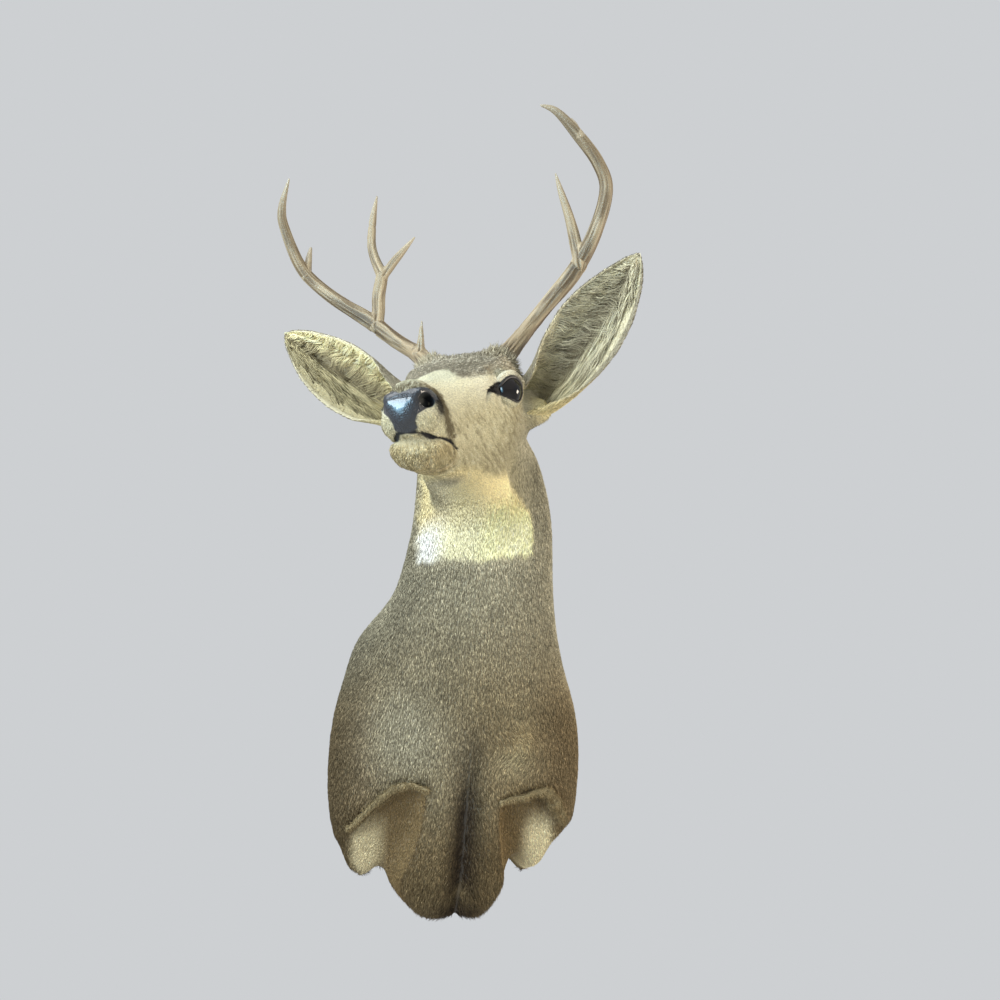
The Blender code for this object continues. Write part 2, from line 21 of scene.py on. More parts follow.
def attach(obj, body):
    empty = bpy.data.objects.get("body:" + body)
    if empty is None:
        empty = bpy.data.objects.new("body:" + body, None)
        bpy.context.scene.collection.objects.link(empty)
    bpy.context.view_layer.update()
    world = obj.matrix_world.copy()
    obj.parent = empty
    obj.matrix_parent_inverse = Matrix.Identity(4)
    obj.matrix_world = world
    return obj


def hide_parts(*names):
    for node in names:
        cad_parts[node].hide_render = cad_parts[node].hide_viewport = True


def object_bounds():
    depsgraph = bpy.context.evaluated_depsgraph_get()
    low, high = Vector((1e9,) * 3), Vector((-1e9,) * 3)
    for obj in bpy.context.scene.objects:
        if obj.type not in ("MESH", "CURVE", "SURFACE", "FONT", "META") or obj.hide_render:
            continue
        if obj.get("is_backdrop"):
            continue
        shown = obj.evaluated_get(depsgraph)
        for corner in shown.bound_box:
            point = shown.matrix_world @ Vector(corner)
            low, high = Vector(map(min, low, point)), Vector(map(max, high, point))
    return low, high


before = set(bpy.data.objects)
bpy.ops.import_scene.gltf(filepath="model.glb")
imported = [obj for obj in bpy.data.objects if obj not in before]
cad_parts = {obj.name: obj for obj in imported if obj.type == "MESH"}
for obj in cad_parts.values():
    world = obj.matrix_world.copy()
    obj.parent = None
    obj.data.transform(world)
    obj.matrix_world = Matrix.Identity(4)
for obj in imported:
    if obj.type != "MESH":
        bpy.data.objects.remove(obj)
CAD_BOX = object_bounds()

LOG = logging.getLogger("deer_shoulder_mount")
Array = np.ndarray
Table = Sequence[Sequence[float]]
Pads = tuple[tuple[Sequence[float], Sequence[float], float], ...]  # centre, radii, height
SEED = 20
MAP_REACH = 0.0015  # half the room that a tuft has in the bake's map

# ---------------------------------------------------------------- numbers as arrays


def along(table: Table, places: Array) -> Array:
    """Reads a table's rows at fractional places, on a Catmull-Rom curve through them.

    Args:
        table: Rows of numbers.
        places: Where to read, from 0 to the last row's index.

    Returns:
        One row for each place.
    """
    rows = np.array(table, float)
    padded = np.vstack((2 * rows[0] - rows[1], rows, 2 * rows[-1] - rows[-2]))
    places = np.clip(np.asarray(places, float), 0.0, len(rows) - 1.0)
    start = np.minimum(places.astype(int), len(rows) - 2)
    t = (places - start)[:, None]
    a, b, c, d = (padded[start + step] for step in range(4))
    slope_in = (c - a) / 2
    slope_out = (d - b) / 2
    return (
        (2 * t**3 - 3 * t**2 + 1) * b
        + (t**3 - 2 * t**2 + t) * slope_in
        + (3 * t**2 - 2 * t**3) * c
        + (t**3 - t**2) * slope_out
    )


def sampled(table: Table, count: int) -> Array:
    """A table read at evenly spaced places, from its first row to its last."""
    return along(table, np.linspace(0, len(table) - 1, count))


def full_turn(count: int) -> Array:
    """Angles spread evenly round a full turn."""
    return np.linspace(0, 2 * math.pi, count, endpoint=False)


def smooth(low: float | Array, high: float | Array, x: Array) -> Array:
    """Rises from 0 at low to 1 at high with flat ends."""
    t = np.clip((x - low) / (high - low), 0.0, 1.0)
    return t * t * (3 - 2 * t)


def hill(x: Array, centre: float | Array, width: float) -> Array:
    """A bell of height 1 at the centre."""
    return np.exp(-(((x - centre) / width) ** 2))


def knoll(points: Array, centre: Sequence[float], radii: Sequence[float]) -> Array:
    """A bell of height 1 round a centre in space, with its own radius along each axis."""
    return np.exp(-(((points - np.array(centre)) / np.array(radii)) ** 2).sum(axis=-1))


def unit(vectors: Array) -> Array:
    """Vectors at length 1."""
    return vectors / np.maximum(np.linalg.norm(vectors, axis=-1, keepdims=True), 1e-9)


def blend(a: Array, b: Array | Sequence[float], share: Array) -> Array:
    """Rows of a turned towards b by a share for each row."""
    share = np.asarray(share)[..., None]
    return a * (1 - share) + np.asarray(b, float) * share


def lattice_noise(points: Array, cell: float | Sequence[float], seed: int = 0) -> Array:
    """Smooth noise from -1 to 1: hashed values at the corners of cells, eased between them.

    Args:
        points: Places in space.
        cell: The size of a cell, or its size along each axis.
        seed: Picks another pattern.

    Returns:
        One value for each point.
    """
    scaled = points / np.asarray(cell, float)
    base = np.floor(scaled).astype(np.int64)
    ease = scaled - base
    ease = ease * ease * (3 - 2 * ease)
    total = np.zeros(len(points))
    for corner in range(8):
        step = np.array((corner & 1, corner >> 1 & 1, corner >> 2 & 1))
        key = base + step
        hashed = key[:, 0] * 73856093 ^ key[:, 1] * 19349663 ^ key[:, 2] * 83492791 ^ (seed * 7919)
        hashed = ((hashed ^ hashed >> 13) * 1274126177) & 0x7FFFFFFF
        value = (hashed >> 7 & 0xFFFF) / 32767.5 - 1
        total += value * np.prod(np.where(step, ease, 1 - ease), axis=1)
    return total


# ---------------------------------------------------------------- meshes


def new_mesh(name: str, points: Array, triangles: Array) -> bpy.types.Mesh:
    """Makes a smooth-shaded mesh from vertices and triangles.

    Args:
        name: The name it gets.
        points: The vertices.
        triangles: Three vertex numbers for each triangle.

    Returns:
        The mesh.
    """
    mesh = bpy.data.meshes.new(name)
    mesh.vertices.add(len(points))
    mesh.vertices.foreach_set("co", np.ascontiguousarray(points, np.float32).ravel())
    mesh.loops.add(triangles.size)
    mesh.loops.foreach_set("vertex_index", triangles.ravel().astype(np.int32))
    mesh.polygons.add(len(triangles))
    mesh.polygons.foreach_set("loop_start", np.arange(0, triangles.size, 3, dtype=np.int32))
    mesh.update(calc_edges=True)
    mesh.validate()
    mesh.shade_smooth()
    return mesh


def new_object(name: str, mesh: bpy.types.Mesh) -> bpy.types.Object:
    """Links a mesh into the scene at the origin.

    Args:
        name: The name it gets.
        mesh: The mesh.

    Returns:
        The object.
    """
    made = bpy.data.objects.new(name, mesh)
    bpy.context.scene.collection.objects.link(made)
    return made


def new_piece(name: str, mesh: bpy.types.Mesh, material: bpy.types.Material) -> bpy.types.Object:
    """Makes a piece of the mount, which rides on its one body.

    Args:
        name: The name it gets.
        mesh: The mesh.
        material: What it is dressed in.

    Returns:
        The piece.
    """
    piece = new_object(name, mesh)
    mesh.materials.append(material)
    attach(piece, "root")
    return piece


def tube_faces(rows: int, around: int) -> list[Array]:
    """Faces of a tube of rings with a fan on each end.

    The vertices are the rings in order, then the middle of the first ring and of the last.

    Args:
        rows: How many rings.
        around: Points in each ring.

    Returns:
        The quads and the triangles, facing out where rings turn anticlockwise along the way.
    """
    ring, point = np.meshgrid(np.arange(rows - 1), np.arange(around), indexing="ij")
    after = (point + 1) % around
    low = ring * around
    quads = np.stack((low + point, low + after, low + around + after, low + around + point), -1)
    turn = np.arange(around)
    onwards = (turn + 1) % around
    first = np.full(around, rows * around)
    last = (rows - 1) * around
    start = np.stack((first, onwards, turn), -1)
    end = np.stack((first + 1, last + turn, last + onwards), -1)
    return [quads.reshape(-1, 4), np.concatenate((start, end))]


def tube_points(rings: Array) -> Array:
    """The vertices that tube_faces expects, from rings of points."""
    return np.concatenate((rings.reshape(-1, 3), rings[:1].mean(axis=1), rings[-1:].mean(axis=1)))


def corners_of(points: Array, triangles: Array) -> list[Array]:
    """The places of each triangle's first, second and third corner."""
    return [points[triangles[:, corner]] for corner in range(3)]


def outward(points: Array, triangles: Array) -> Array:
    """Turns a closed surface's triangles over if they enclose a negative volume.

    Args:
        points: The vertices.
        triangles: Three vertex numbers for each triangle.

    Returns:
        The triangles, facing out.
    """
    a, b, c = corners_of(points, triangles)
    volume = (a * np.cross(b, c)).sum()
    return triangles if volume > 0 else triangles[:, ::-1]


def triangles_of(faces: Sequence[Array]) -> Array:
    """All faces as triangles.

    Args:
        faces: Arrays of faces, each a row of vertex numbers.

    Returns:
        Three vertex numbers for each triangle.
    """
    parts = []
    for part in faces:
        parts += [part[:, (0, k, k + 1)] for k in range(1, part.shape[1] - 1)]
    return np.concatenate(parts)


def turned_out(points: Array, faces: Sequence[Array]) -> Array:
    """A closed surface's faces as triangles, turned over if they enclose a negative volume.

    Args:
        points: The vertices.
        faces: Arrays of faces, each a row of vertex numbers.

    Returns:
        The triangles, facing out.
    """
    triangles = triangles_of(faces)
    if (outward(points, triangles) != triangles).any():
        triangles = triangles_of([part[:, ::-1] for part in faces])
    return triangles


def read_mesh(mesh: bpy.types.Mesh) -> tuple[Array, Array]:
    """A mesh's vertices and its triangles.

    Args:
        mesh: The mesh.

    Returns:
        Vertices and triangles.
    """
    points = np.empty(len(mesh.vertices) * 3, np.float32)
    mesh.vertices.foreach_get("co", points)
    mesh.calc_loop_triangles()
    triangles = np.empty(len(mesh.loop_triangles) * 3, np.int32)
    mesh.loop_triangles.foreach_get("vertices", triangles)
    return points.reshape(-1, 3).astype(float), triangles.reshape(-1, 3)


def evaluated(piece: bpy.types.Object) -> tuple[Array, Array]:
    """A piece's mesh once its modifiers are applied; the piece is then deleted.

    Args:
        piece: The piece to take apart.

    Returns:
        Vertices and triangles.
    """
    solved = piece.evaluated_get(bpy.context.evaluated_depsgraph_get())
    mesh = bpy.data.meshes.new_from_object(solved)
    arrays = read_mesh(mesh)
    bpy.data.objects.remove(piece, do_unlink=True)
    bpy.data.meshes.remove(mesh)
    return arrays


def joined(shapes: Sequence[tuple[Array, Array]]) -> tuple[Array, Array]:
    """Several closed surfaces as one list of vertices and triangles.

    Args:
        shapes: Vertices and triangles of each.

    Returns:
        Vertices and triangles.
    """
    starts = np.cumsum([0] + [len(points) for points, _ in shapes[:-1]])
    points = np.concatenate([points for points, _ in shapes])
    triangles = np.concatenate([t + start for (_, t), start in zip(shapes, starts)])
    return points, triangles


def fused(name: str, shapes: Sequence[tuple[Array, Array]], voxel: float) -> tuple[Array, Array]:
    """One skin round several closed surfaces that overlap, by a voxel remesh.

    Args:
        name: The name it gets.
        shapes: Vertices and triangles of each.
        voxel: The voxels' size in metres.

    Returns:
        Vertices and triangles.
    """
    piece = new_object(name, new_mesh(name, *joined(shapes)))
    remesh = piece.modifiers.new("fuse", "REMESH")
    remesh.mode = "VOXEL"
    remesh.voxel_size = voxel
    return evaluated(piece)


def edge_keys(triangles: Array) -> Array:
    """A number for each side of each triangle, which triangles that share the side agree on.

    Args:
        triangles: Three vertex numbers for each triangle.

    Returns:
        The sides' numbers, which hold the numbers of both ends.
    """
    pairs = np.stack((triangles, np.roll(triangles, -1, axis=1)), -1).astype(np.int64)
    pairs.sort(axis=-1)
    return pairs[..., 0] << 32 | pairs[..., 1]


def key_ends(keys: Array) -> Array:
    """The two vertices of each numbered side."""
    return np.stack((keys >> 32, keys & 0xFFFFFFFF), -1)


def edges_of(triangles: Array) -> Array:
    """Each edge of a triangle mesh once."""
    return key_ends(np.unique(edge_keys(triangles)))


def relax(points: Array, edges: Array, share: Array | float, times: int) -> Array:
    """Moves each point towards the middle of its neighbours, a few times over.

    Args:
        points: Vertices.
        edges: Pairs of neighbours.
        share: How far each point goes, from 0 to 1.
        times: How often.

    Returns:
        The moved vertices.
    """
    count = len(points)
    a, b = edges.T
    degree = np.maximum(np.bincount(a, minlength=count) + np.bincount(b, minlength=count), 1)
    share = np.broadcast_to(share, (count,))[:, None]
    for _ in range(times):
        total = np.stack(
            [
                np.bincount(a, points[b, axis], count) + np.bincount(b, points[a, axis], count)
                for axis in range(3)
            ],
            -1,
        )
        points = points + share * (total / degree[:, None] - points)
    return points


def paint(mesh: bpy.types.Mesh, name: str, colours: Array) -> None:
    """Stores one colour for each vertex.

    Args:
        mesh: The mesh.
        name: The name it gets.
        colours: Red, green and blue for each vertex.
    """
    layer = mesh.color_attributes.new(name, "FLOAT_COLOR", "POINT")
    filled = np.ones((len(colours), 4), np.float32)
    filled[:, :3] = colours
    layer.data.foreach_set("color", filled.ravel())


def weigh(mesh: bpy.types.Mesh, name: str, values: Array) -> None:
    """Stores one number for each vertex."""
    mesh.attributes.new(name, "FLOAT", "POINT").data.foreach_set("value", values.astype(np.float32))


def unwrap(mesh: bpy.types.Mesh, places: Array) -> None:
    """Stores the bake's map from one place for each vertex.

    Args:
        mesh: The mesh.
        places: Each vertex's place in the map.
    """
    layer = mesh.uv_layers.new(name="OFBake")
    loops = np.empty(len(mesh.loops), np.int32)
    mesh.loops.foreach_get("vertex_index", loops)
    layer.data.foreach_set("uv", places[loops].astype(np.float32).ravel())


def inset(share: Array) -> Array:
    """Shares from 0 to 1 drawn in from the map's borders."""
    return 0.003 + 0.994 * share


def mixed_at(values: Array, corners: Array, weights: Array) -> Array:
    """Vertex values at places inside triangles, by their weights for the corners."""
    return (values[corners] * weights.reshape(weights.shape + (1,) * (values.ndim - 1))).sum(1)


def flattened(ways: Array, normals: Array) -> Array:
    """Directions laid flat into a surface, at length 1."""
    return unit(ways - normals * (ways * normals).sum(axis=1, keepdims=True))


# ---------------------------------------------------------------- shader arithmetic


class Wire:
    """A node's output that takes part in arithmetic: each operation adds one Math node."""

    def __init__(self, graph: "Graph", socket: bpy.types.NodeSocket) -> None:
        """Wraps a socket of a graph."""
        self.graph = graph
        self.socket = socket

    def __add__(self, other: "Wire | float") -> "Wire":
        """Sum."""
        return self.graph.math("ADD", self, other)

    __radd__ = __add__

    def __mul__(self, other: "Wire | float") -> "Wire":
        """Product."""
        return self.graph.math("MULTIPLY", self, other)

    __rmul__ = __mul__

    def __sub__(self, other: "Wire | float") -> "Wire":
        """Difference."""
        return self.graph.math("SUBTRACT", self, other)

    def __rsub__(self, other: "Wire | float") -> "Wire":
        """Difference, the other way round."""
        return self.graph.math("SUBTRACT", other, self)

    def __pow__(self, other: float) -> "Wire":
        """Power."""
        return self.graph.math("POWER", self, other)


class Graph:
    """The nodes of one material."""

    def __init__(self, name: str, roughness: float, **fixed: float) -> None:
        """Starts a material with a Principled shader.

        Args:
            name: The material's name.
            roughness: The shader's roughness, until something is wired to it.
            fixed: Other sockets of the shader, by name with _ for a space.
        """
        self.material = bpy.data.materials.new(name)
        self.material.use_nodes = True
        self.tree = self.material.node_tree
        self.shader = self.tree.nodes["Principled BSDF"]
        self.shader.inputs["Roughness"].default_value = roughness
        for socket, value in fixed.items():
            self.shader.inputs[socket.replace("_", " ")].default_value = value

    def node(self, kind: str, settings: dict | None = None, **inputs: object) -> bpy.types.Node:
        """Adds a node, sets it up, then fills its sockets.

        Args:
            kind: The node's type, without ShaderNode.
            settings: Its own properties.
            inputs: Values or wires by socket name, with _ for a space; in_N for socket N.

        Returns:
            The node.
        """
        made = self.tree.nodes.new("ShaderNode" + kind)
        for name, value in (settings or {}).items():
            setattr(made, name, value)
        for name, value in inputs.items():
            key = int(name[3:]) if name.startswith("in_") else name.replace("_", " ")
            if isinstance(value, Wire):
                self.tree.links.new(value.socket, made.inputs[key])
            else:
                made.inputs[key].default_value = value
        return made

    def wire(self, node: bpy.types.Node, output: str | int = 0) -> Wire:
        """One of a node's outputs."""
        return Wire(self, node.outputs[output])

    def math(self, operation: str, *values: Wire | float) -> Wire:
        """A Math node."""
        inputs = {f"in_{index}": value for index, value in enumerate(values)}
        return self.wire(self.node("Math", {"operation": operation}, **inputs))

    def attribute(self, name: str, output: str = "Fac") -> Wire:
        """An attribute of the piece."""
        return self.wire(self.node("Attribute", {"attribute_name": name}), output)

    def place(self) -> Wire:
        """The piece's own coordinates."""
        return self.wire(self.node("TexCoord"), "Object")

    def noise(self, size: float, detail: float = 2.0, place: Wire | None = None) -> Wire:
        """Noise from 0 to 1 whose features are about the given size across."""
        inputs = {"Vector": place or self.place(), "Scale": 1.0 / size, "Detail": detail}
        return self.wire(self.node("TexNoise", None, **inputs), "Fac")

    def scaled(self, colour: Wire, factor: Wire) -> Wire:
        """A colour made lighter or darker."""
        node = self.node("VectorMath", {"operation": "SCALE"}, in_0=colour, Scale=factor)
        return self.wire(node)

    def mixed(self, factor: Wire, a: Wire | tuple, b: Wire | tuple) -> Wire:
        """A colour between two."""
        node = self.node("Mix", {"data_type": "RGBA"}, in_0=factor, in_6=a, in_7=b)
        return self.wire(node, 2)

    def feed(self, socket: str, value: Wire) -> None:
        """Wires a value into the Principled shader."""
        self.tree.links.new(value.socket, self.shader.inputs[socket])

    def bump(self, height: Wire, distance: float, strength: float = 1.0) -> None:
        """Gives the surface a relief."""
        node = self.node("Bump", None, Height=height, Distance=distance, Strength=strength)
        self.tree.links.new(node.outputs[0], self.shader.inputs["Normal"])


# ---------------------------------------------------------------- the mount's own sizes

HEAD_PLACE = (-0.052, -0.452, 0.328)  # midpoint between the eyes
HEAD_TURN = math.radians(-28.2)  # to the deer's right
HEAD_NOD = math.radians(26.9)  # nose down
HEAD_TILT = math.radians(5.4)  # left ear lower than the right
TIP_RADIUS = 0.0016
LEAST_RADIUS = 0.0014  # of any tube

# Each row is one section of the body, from the board to the head: the lowest point of the
# section (y, z), its highest point (y, z), its half width, the sideways shift of its middle,
# where between lowest (-1) and highest (1) it is widest, and its squareness (2 is an ellipse).
BODY_SECTIONS = (
    (-0.0123, -0.205, -0.0123, 0.188, 0.163, 0.000, -0.10, 2.35),
    (-0.070, -0.236, -0.055, 0.196, 0.181, 0.000, -0.10, 2.30),
    (-0.140, -0.190, -0.095, 0.205, 0.175, 0.000, -0.06, 2.20),
    (-0.195, -0.105, -0.130, 0.224, 0.150, 0.002, -0.02, 2.10),
    (-0.240, -0.020, -0.163, 0.247, 0.127, 0.006, 0.00, 2.05),
    (-0.280, 0.055, -0.195, 0.274, 0.112, 0.009, 0.00, 2.00),
    (-0.315, 0.120, -0.230, 0.306, 0.103, 0.010, 0.00, 2.00),
    (-0.345, 0.180, -0.268, 0.345, 0.097, 0.008, 0.00, 2.00),
    (-0.365, 0.235, -0.320, 0.385, 0.086, -0.002, 0.00, 2.00),
    (-0.385, 0.285, -0.365, 0.395, 0.060, -0.010, 0.00, 2.00),
)

# The underside of the mount seen from the front, from each armpit outwards and inwards: the
# end of a foreleg, the fold of the armpit, and the side of the brisket, as (x, z).
RIGHT_UNDERSIDE = (
    (-0.230, -0.118),
    (-0.170, -0.128),
    (-0.152, -0.146),
    (-0.147, -0.168),
    (-0.134, -0.184),
    (-0.115, -0.176),
    (-0.099, -0.160),
    (-0.083, -0.188),
    (-0.062, -0.214),
    (-0.038, -0.234),
    (-0.015, -0.260),
)
LEFT_UNDERSIDE = (
    (0.230, -0.100),
    (0.178, -0.112),
    (0.150, -0.128),
    (0.130, -0.146),
    (0.122, -0.164),
    (0.106, -0.178),
    (0.090, -0.168),
    (0.077, -0.153),
    (0.064, -0.186),
    (0.045, -0.216),
    (0.026, -0.234),
    (0.008, -0.260),
)
UNDERSIDE_BOTTOM = -0.320
UNDERSIDE_DEPTH = (-0.400, 0.050)

# The cut face of each foreleg: a point of it (y, z), how steeply it slopes down to the board,
# and its outline as (x, distance down the slope), from the brisket out along the hide's hem.
RIGHT_LEG_CUT = (
    (-0.170, -0.084),
    math.radians(39.5),
    (
        (-0.050, -0.017),
        (-0.084, -0.013),
        (-0.118, 0.022),
        (-0.148, 0.067),
        (-0.170, 0.095),
        (-0.300, 0.120),
        (-0.300, 0.350),
        (-0.082, 0.350),
        (-0.080, 0.125),
        (-0.066, 0.080),
        (-0.056, 0.030),
    ),
)
LEFT_LEG_CUT = (
    (-0.162, -0.098),
    math.radians(46),
    (
        (0.042, -0.015),
        (0.101, -0.015),
        (0.124, 0.008),
        (0.139, 0.037),
        (0.300, 0.060),
        (0.300, 0.350),
        (0.062, 0.350),
        (0.062, 0.110),
        (0.052, 0.060),
        (0.044, 0.020),
    ),
)
LEG_CUT_REACH = 0.30


# Each row is one section of the head: its place forward of the eyes, its top, its bottom,
# its half width, where it is widest (-1 bottom, 1 top), its squareness, and how much wider
# it grows towards the top.
HEAD_SECTIONS = (
    (-0.128, 0.020, -0.050, 0.036, 0.10, 2.0, 0.00),
    (-0.115, 0.040, -0.080, 0.056, 0.15, 2.1, 0.05),
    (-0.090, 0.056, -0.104, 0.069, 0.20, 2.1, 0.10),
    (-0.060, 0.062, -0.116, 0.0745, 0.20, 2.1, 0.14),
    (-0.030, 0.060, -0.117, 0.0755, 0.22, 2.1, 0.18),
    (0.000, 0.050, -0.108, 0.0720, 0.25, 2.1, 0.22),
    (0.030, 0.037, -0.093, 0.0620, 0.22, 2.1, 0.20),
    (0.060, 0.025, -0.079, 0.0520, 0.15, 2.1, 0.15),
    (0.090, 0.014, -0.070, 0.0440, 0.05, 2.2, 0.08),
    (0.120, 0.006, -0.065, 0.0375, 0.00, 2.3, 0.02),
    (0.145, 0.001, -0.063, 0.0335, 0.00, 2.3, 0.00),
    (0.162, -0.004, -0.061, 0.0290, 0.00, 2.2, 0.00),
    (0.172, -0.012, -0.056, 0.0200, 0.00, 2.1, 0.00),
)

# The lower jaw, in the head's terms.
JAW_SECTIONS = (
    (-0.030, -0.080, -0.114, 0.030, 0.30, 2.0, 0.20),
    (0.000, -0.070, -0.110, 0.037, 0.30, 2.0, 0.20),
    (0.040, -0.062, -0.104, 0.036, 0.30, 2.1, 0.15),
    (0.080, -0.058, -0.099, 0.033, 0.20, 2.2, 0.10),
    (0.115, -0.056, -0.097, 0.0305, 0.10, 2.3, 0.05),
    (0.140, -0.056, -0.093, 0.0265, 0.10, 2.3, 0.05),
    (0.152, -0.060, -0.084, 0.0170, 0.10, 2.1, 0.00),
)
# The bare pad of the nose.
PAD_SECTIONS = (
    (0.146, -0.010, -0.040, 0.014, 0.20, 2.2, 0.00),
    (0.152, 0.002, -0.047, 0.023, 0.25, 2.3, 0.12),
    (0.166, -0.001, -0.050, 0.0260, 0.30, 2.3, 0.18),
    (0.176, -0.009, -0.048, 0.0230, 0.30, 2.3, 0.18),
    (0.183, -0.020, -0.042, 0.0140, 0.20, 2.1, 0.05),
)

# Each row is one row of an ear, from its root to its tip: the place of the middle of its back
# (x, y, z in the head's frame, for the left ear), the radius of its curve and half the angle
# that the curve spans, in degrees.
LEFT_EAR = (
    (0.050, 0.080, -0.010, 0.020, 150),
    (0.078, 0.086, 0.000, 0.026, 140),
    (0.106, 0.094, 0.022, 0.033, 112),
    (0.134, 0.100, 0.055, 0.042, 82),
    (0.160, 0.102, 0.087, 0.047, 70),
    (0.187, 0.097, 0.117, 0.043, 64),
    (0.209, 0.087, 0.141, 0.032, 58),
    (0.224, 0.077, 0.158, 0.018, 50),
    (0.231, 0.071, 0.165, 0.006, 40),
)
RIGHT_EAR = (
    (-0.050, 0.082, -0.006, 0.020, 150),
    (-0.082, 0.088, 0.004, 0.026, 140),
    (-0.114, 0.094, 0.022, 0.033, 112),
    (-0.147, 0.098, 0.043, 0.044, 82),
    (-0.182, 0.098, 0.067, 0.049, 70),
    (-0.213, 0.092, 0.090, 0.045, 64),
    (-0.238, 0.083, 0.110, 0.034, 58),
    (-0.256, 0.074, 0.124, 0.018, 50),
    (-0.262, 0.070, 0.129, 0.006, 40),
)
EAR_FACES = (0.20, -0.96, -0.05)  # the way that the left ear's hollow opens
EAR_END = 0.992  # the last row of the shell, as a share of the ear's length

# Fillers between the head's forms, by a point and a radius: the bulb at the left ear's root,
# the lobe at its foot, and the throat from under the jaw down to the neck.
EAR_ROOT = (
    (0.040, 0.074, -0.012, 0.0220),
    (0.058, 0.080, -0.008, 0.0225),
    (0.076, 0.082, -0.002, 0.0180),
    (0.090, 0.082, 0.008, 0.0100),
)
EAR_LOBE = (
    (0.074, 0.058, -0.020, 0.0180),
    (0.092, 0.063, -0.016, 0.0175),
    (0.103, 0.065, -0.010, 0.0130),
)
THROAT = (
    (0, -0.040, -0.0640, 0.026),
    (0, 0.000, -0.0896, 0.030),
    (0, 0.030, -0.1126, 0.031),
    (0, 0.052, -0.1450, 0.030),
    (0, 0.062, -0.1900, 0.022),
)
THROAT_WIDTH = 1.6  # times as wide as it is deep

# The antlers: each row is a point of a stem (x, y, z in the head's frame) and its radius.
LEFT_BEAM = (
    (0.040, 0.052, 0.040, 0.0125),
    (0.051, 0.068, 0.058, 0.0125),
    (0.076, 0.098, 0.096, 0.0108),
    (0.100, 0.110, 0.125, 0.0105),
    (0.145, 0.118, 0.174, 0.0112),
    (0.176, 0.115, 0.222, 0.0100),
    (0.194, 0.102, 0.266, 0.0090),
    (0.187, 0.088, 0.297, 0.0082),
    (0.166, 0.072, 0.329, 0.0075),
    (0.143, 0.057, 0.356, 0.0048),
    (0.124, 0.048, 0.364, TIP_RADIUS),
)
LEFT_REAR_TINE = (
    (0.150, 0.117, 0.178, 0.0075),
    (0.146, 0.123, 0.215, 0.0080),
    (0.139, 0.128, 0.253, 0.0065),
    (0.131, 0.128, 0.286, 0.0045),
    (0.126, 0.125, 0.310, TIP_RADIUS),
)
LEFT_SNAG = (
    (0.168, 0.072, 0.328, 0.0042),
    (0.163, 0.079, 0.345, 0.0036),
    (0.157, 0.085, 0.359, TIP_RADIUS),
)

RIGHT_BEAM = (
    (-0.042, 0.052, 0.042, 0.0125),
    (-0.053, 0.068, 0.060, 0.0125),
    (-0.080, 0.093, 0.085, 0.0112),
    (-0.110, 0.104, 0.107, 0.0105),
    (-0.150, 0.112, 0.141, 0.0112),
    (-0.208, 0.105, 0.185, 0.0095),
    (-0.241, 0.090, 0.224, 0.0090),
    (-0.253, 0.070, 0.277, 0.0072),
    (-0.248, 0.058, 0.302, 0.0055),
    (-0.227, 0.045, 0.334, TIP_RADIUS),
)
RIGHT_STEM = (
    (-0.141, 0.111, 0.132, 0.0085),
    (-0.141, 0.119, 0.155, 0.0092),
    (-0.142, 0.127, 0.182, 0.0095),
    (-0.137, 0.133, 0.212, 0.0088),
)
RIGHT_REAR_TINE = (
    (-0.137, 0.133, 0.212, 0.0088),
    (-0.149, 0.138, 0.240, 0.0072),
    (-0.154, 0.142, 0.265, 0.0066),
    (-0.150, 0.145, 0.302, 0.0052),
    (-0.142, 0.146, 0.334, TIP_RADIUS),
)
RIGHT_INNER_TINE = (
    (-0.139, 0.132, 0.205, 0.0062),
    (-0.120, 0.138, 0.230, 0.0060),
    (-0.103, 0.145, 0.250, 0.0042),
    (-0.089, 0.150, 0.266, TIP_RADIUS),
)
RIGHT_KNOB = (
    (-0.236, 0.094, 0.214, 0.0062),
    (-0.236, 0.102, 0.240, 0.0050),
    (-0.235, 0.110, 0.261, 0.0022),
)
RIGHT_BROW = (
    (-0.071, 0.086, 0.079, 0.0075),
    (-0.066, 0.080, 0.100, 0.0042),
    (-0.061, 0.074, 0.123, TIP_RADIUS),
)
ANTLER_PEDICLE = (0.044, 0.054, 0.052)  # the left antler's root, in the head's frame

EYE_CENTRE = (0.0625, 0.008, 0.004)  # of the left eyeball, in the head's frame
EYE_RADIUS = 0.0205
MOUTH_LINE = (
    (0.000, -0.172, -0.0565),
    (0.006, -0.170, -0.0565),
    (0.013, -0.165, -0.0575),
    (0.019, -0.147, -0.0585),
    (0.024, -0.125, -0.0600),
    (0.026, -0.106, -0.0625),
    (0.030, -0.097, -0.0690),
)
MOUTH_CORNER = ((0.026, -0.108, -0.0625), (0.0295, -0.107, -0.0700), (0.0300, -0.108, -0.0780))
CHIN_CREASE = (
    (0.000, -0.128, -0.0960),
    (0.010, -0.124, -0.0945),
    (0.019, -0.116, -0.0915),
    (0.027, -0.104, -0.0850),
    (0.032, -0.096, -0.0770),
)
TEAR_DUCT = (
    (0.0605, -0.013, 0.0050),
    (0.0580, -0.030, 0.0030),
    (0.0555, -0.043, -0.0005),
    (0.0545, -0.049, -0.0120),
)
NOSTRIL = (0.0235, -0.1665, -0.0240)
NOSE_BAND = (
    (0.0280, -0.150, -0.014),
    (0.0335, -0.141, -0.026),
    (0.0340, -0.129, -0.044),
    (0.0300, -0.108, -0.057),
)


class Side(Enum):
    """The deer's own sides, by the sign of X."""

    LEFT = 1
    RIGHT = -1

    @property
    def word(self) -> str:
        """The side as names of pieces say it."""
        return self.name.lower()


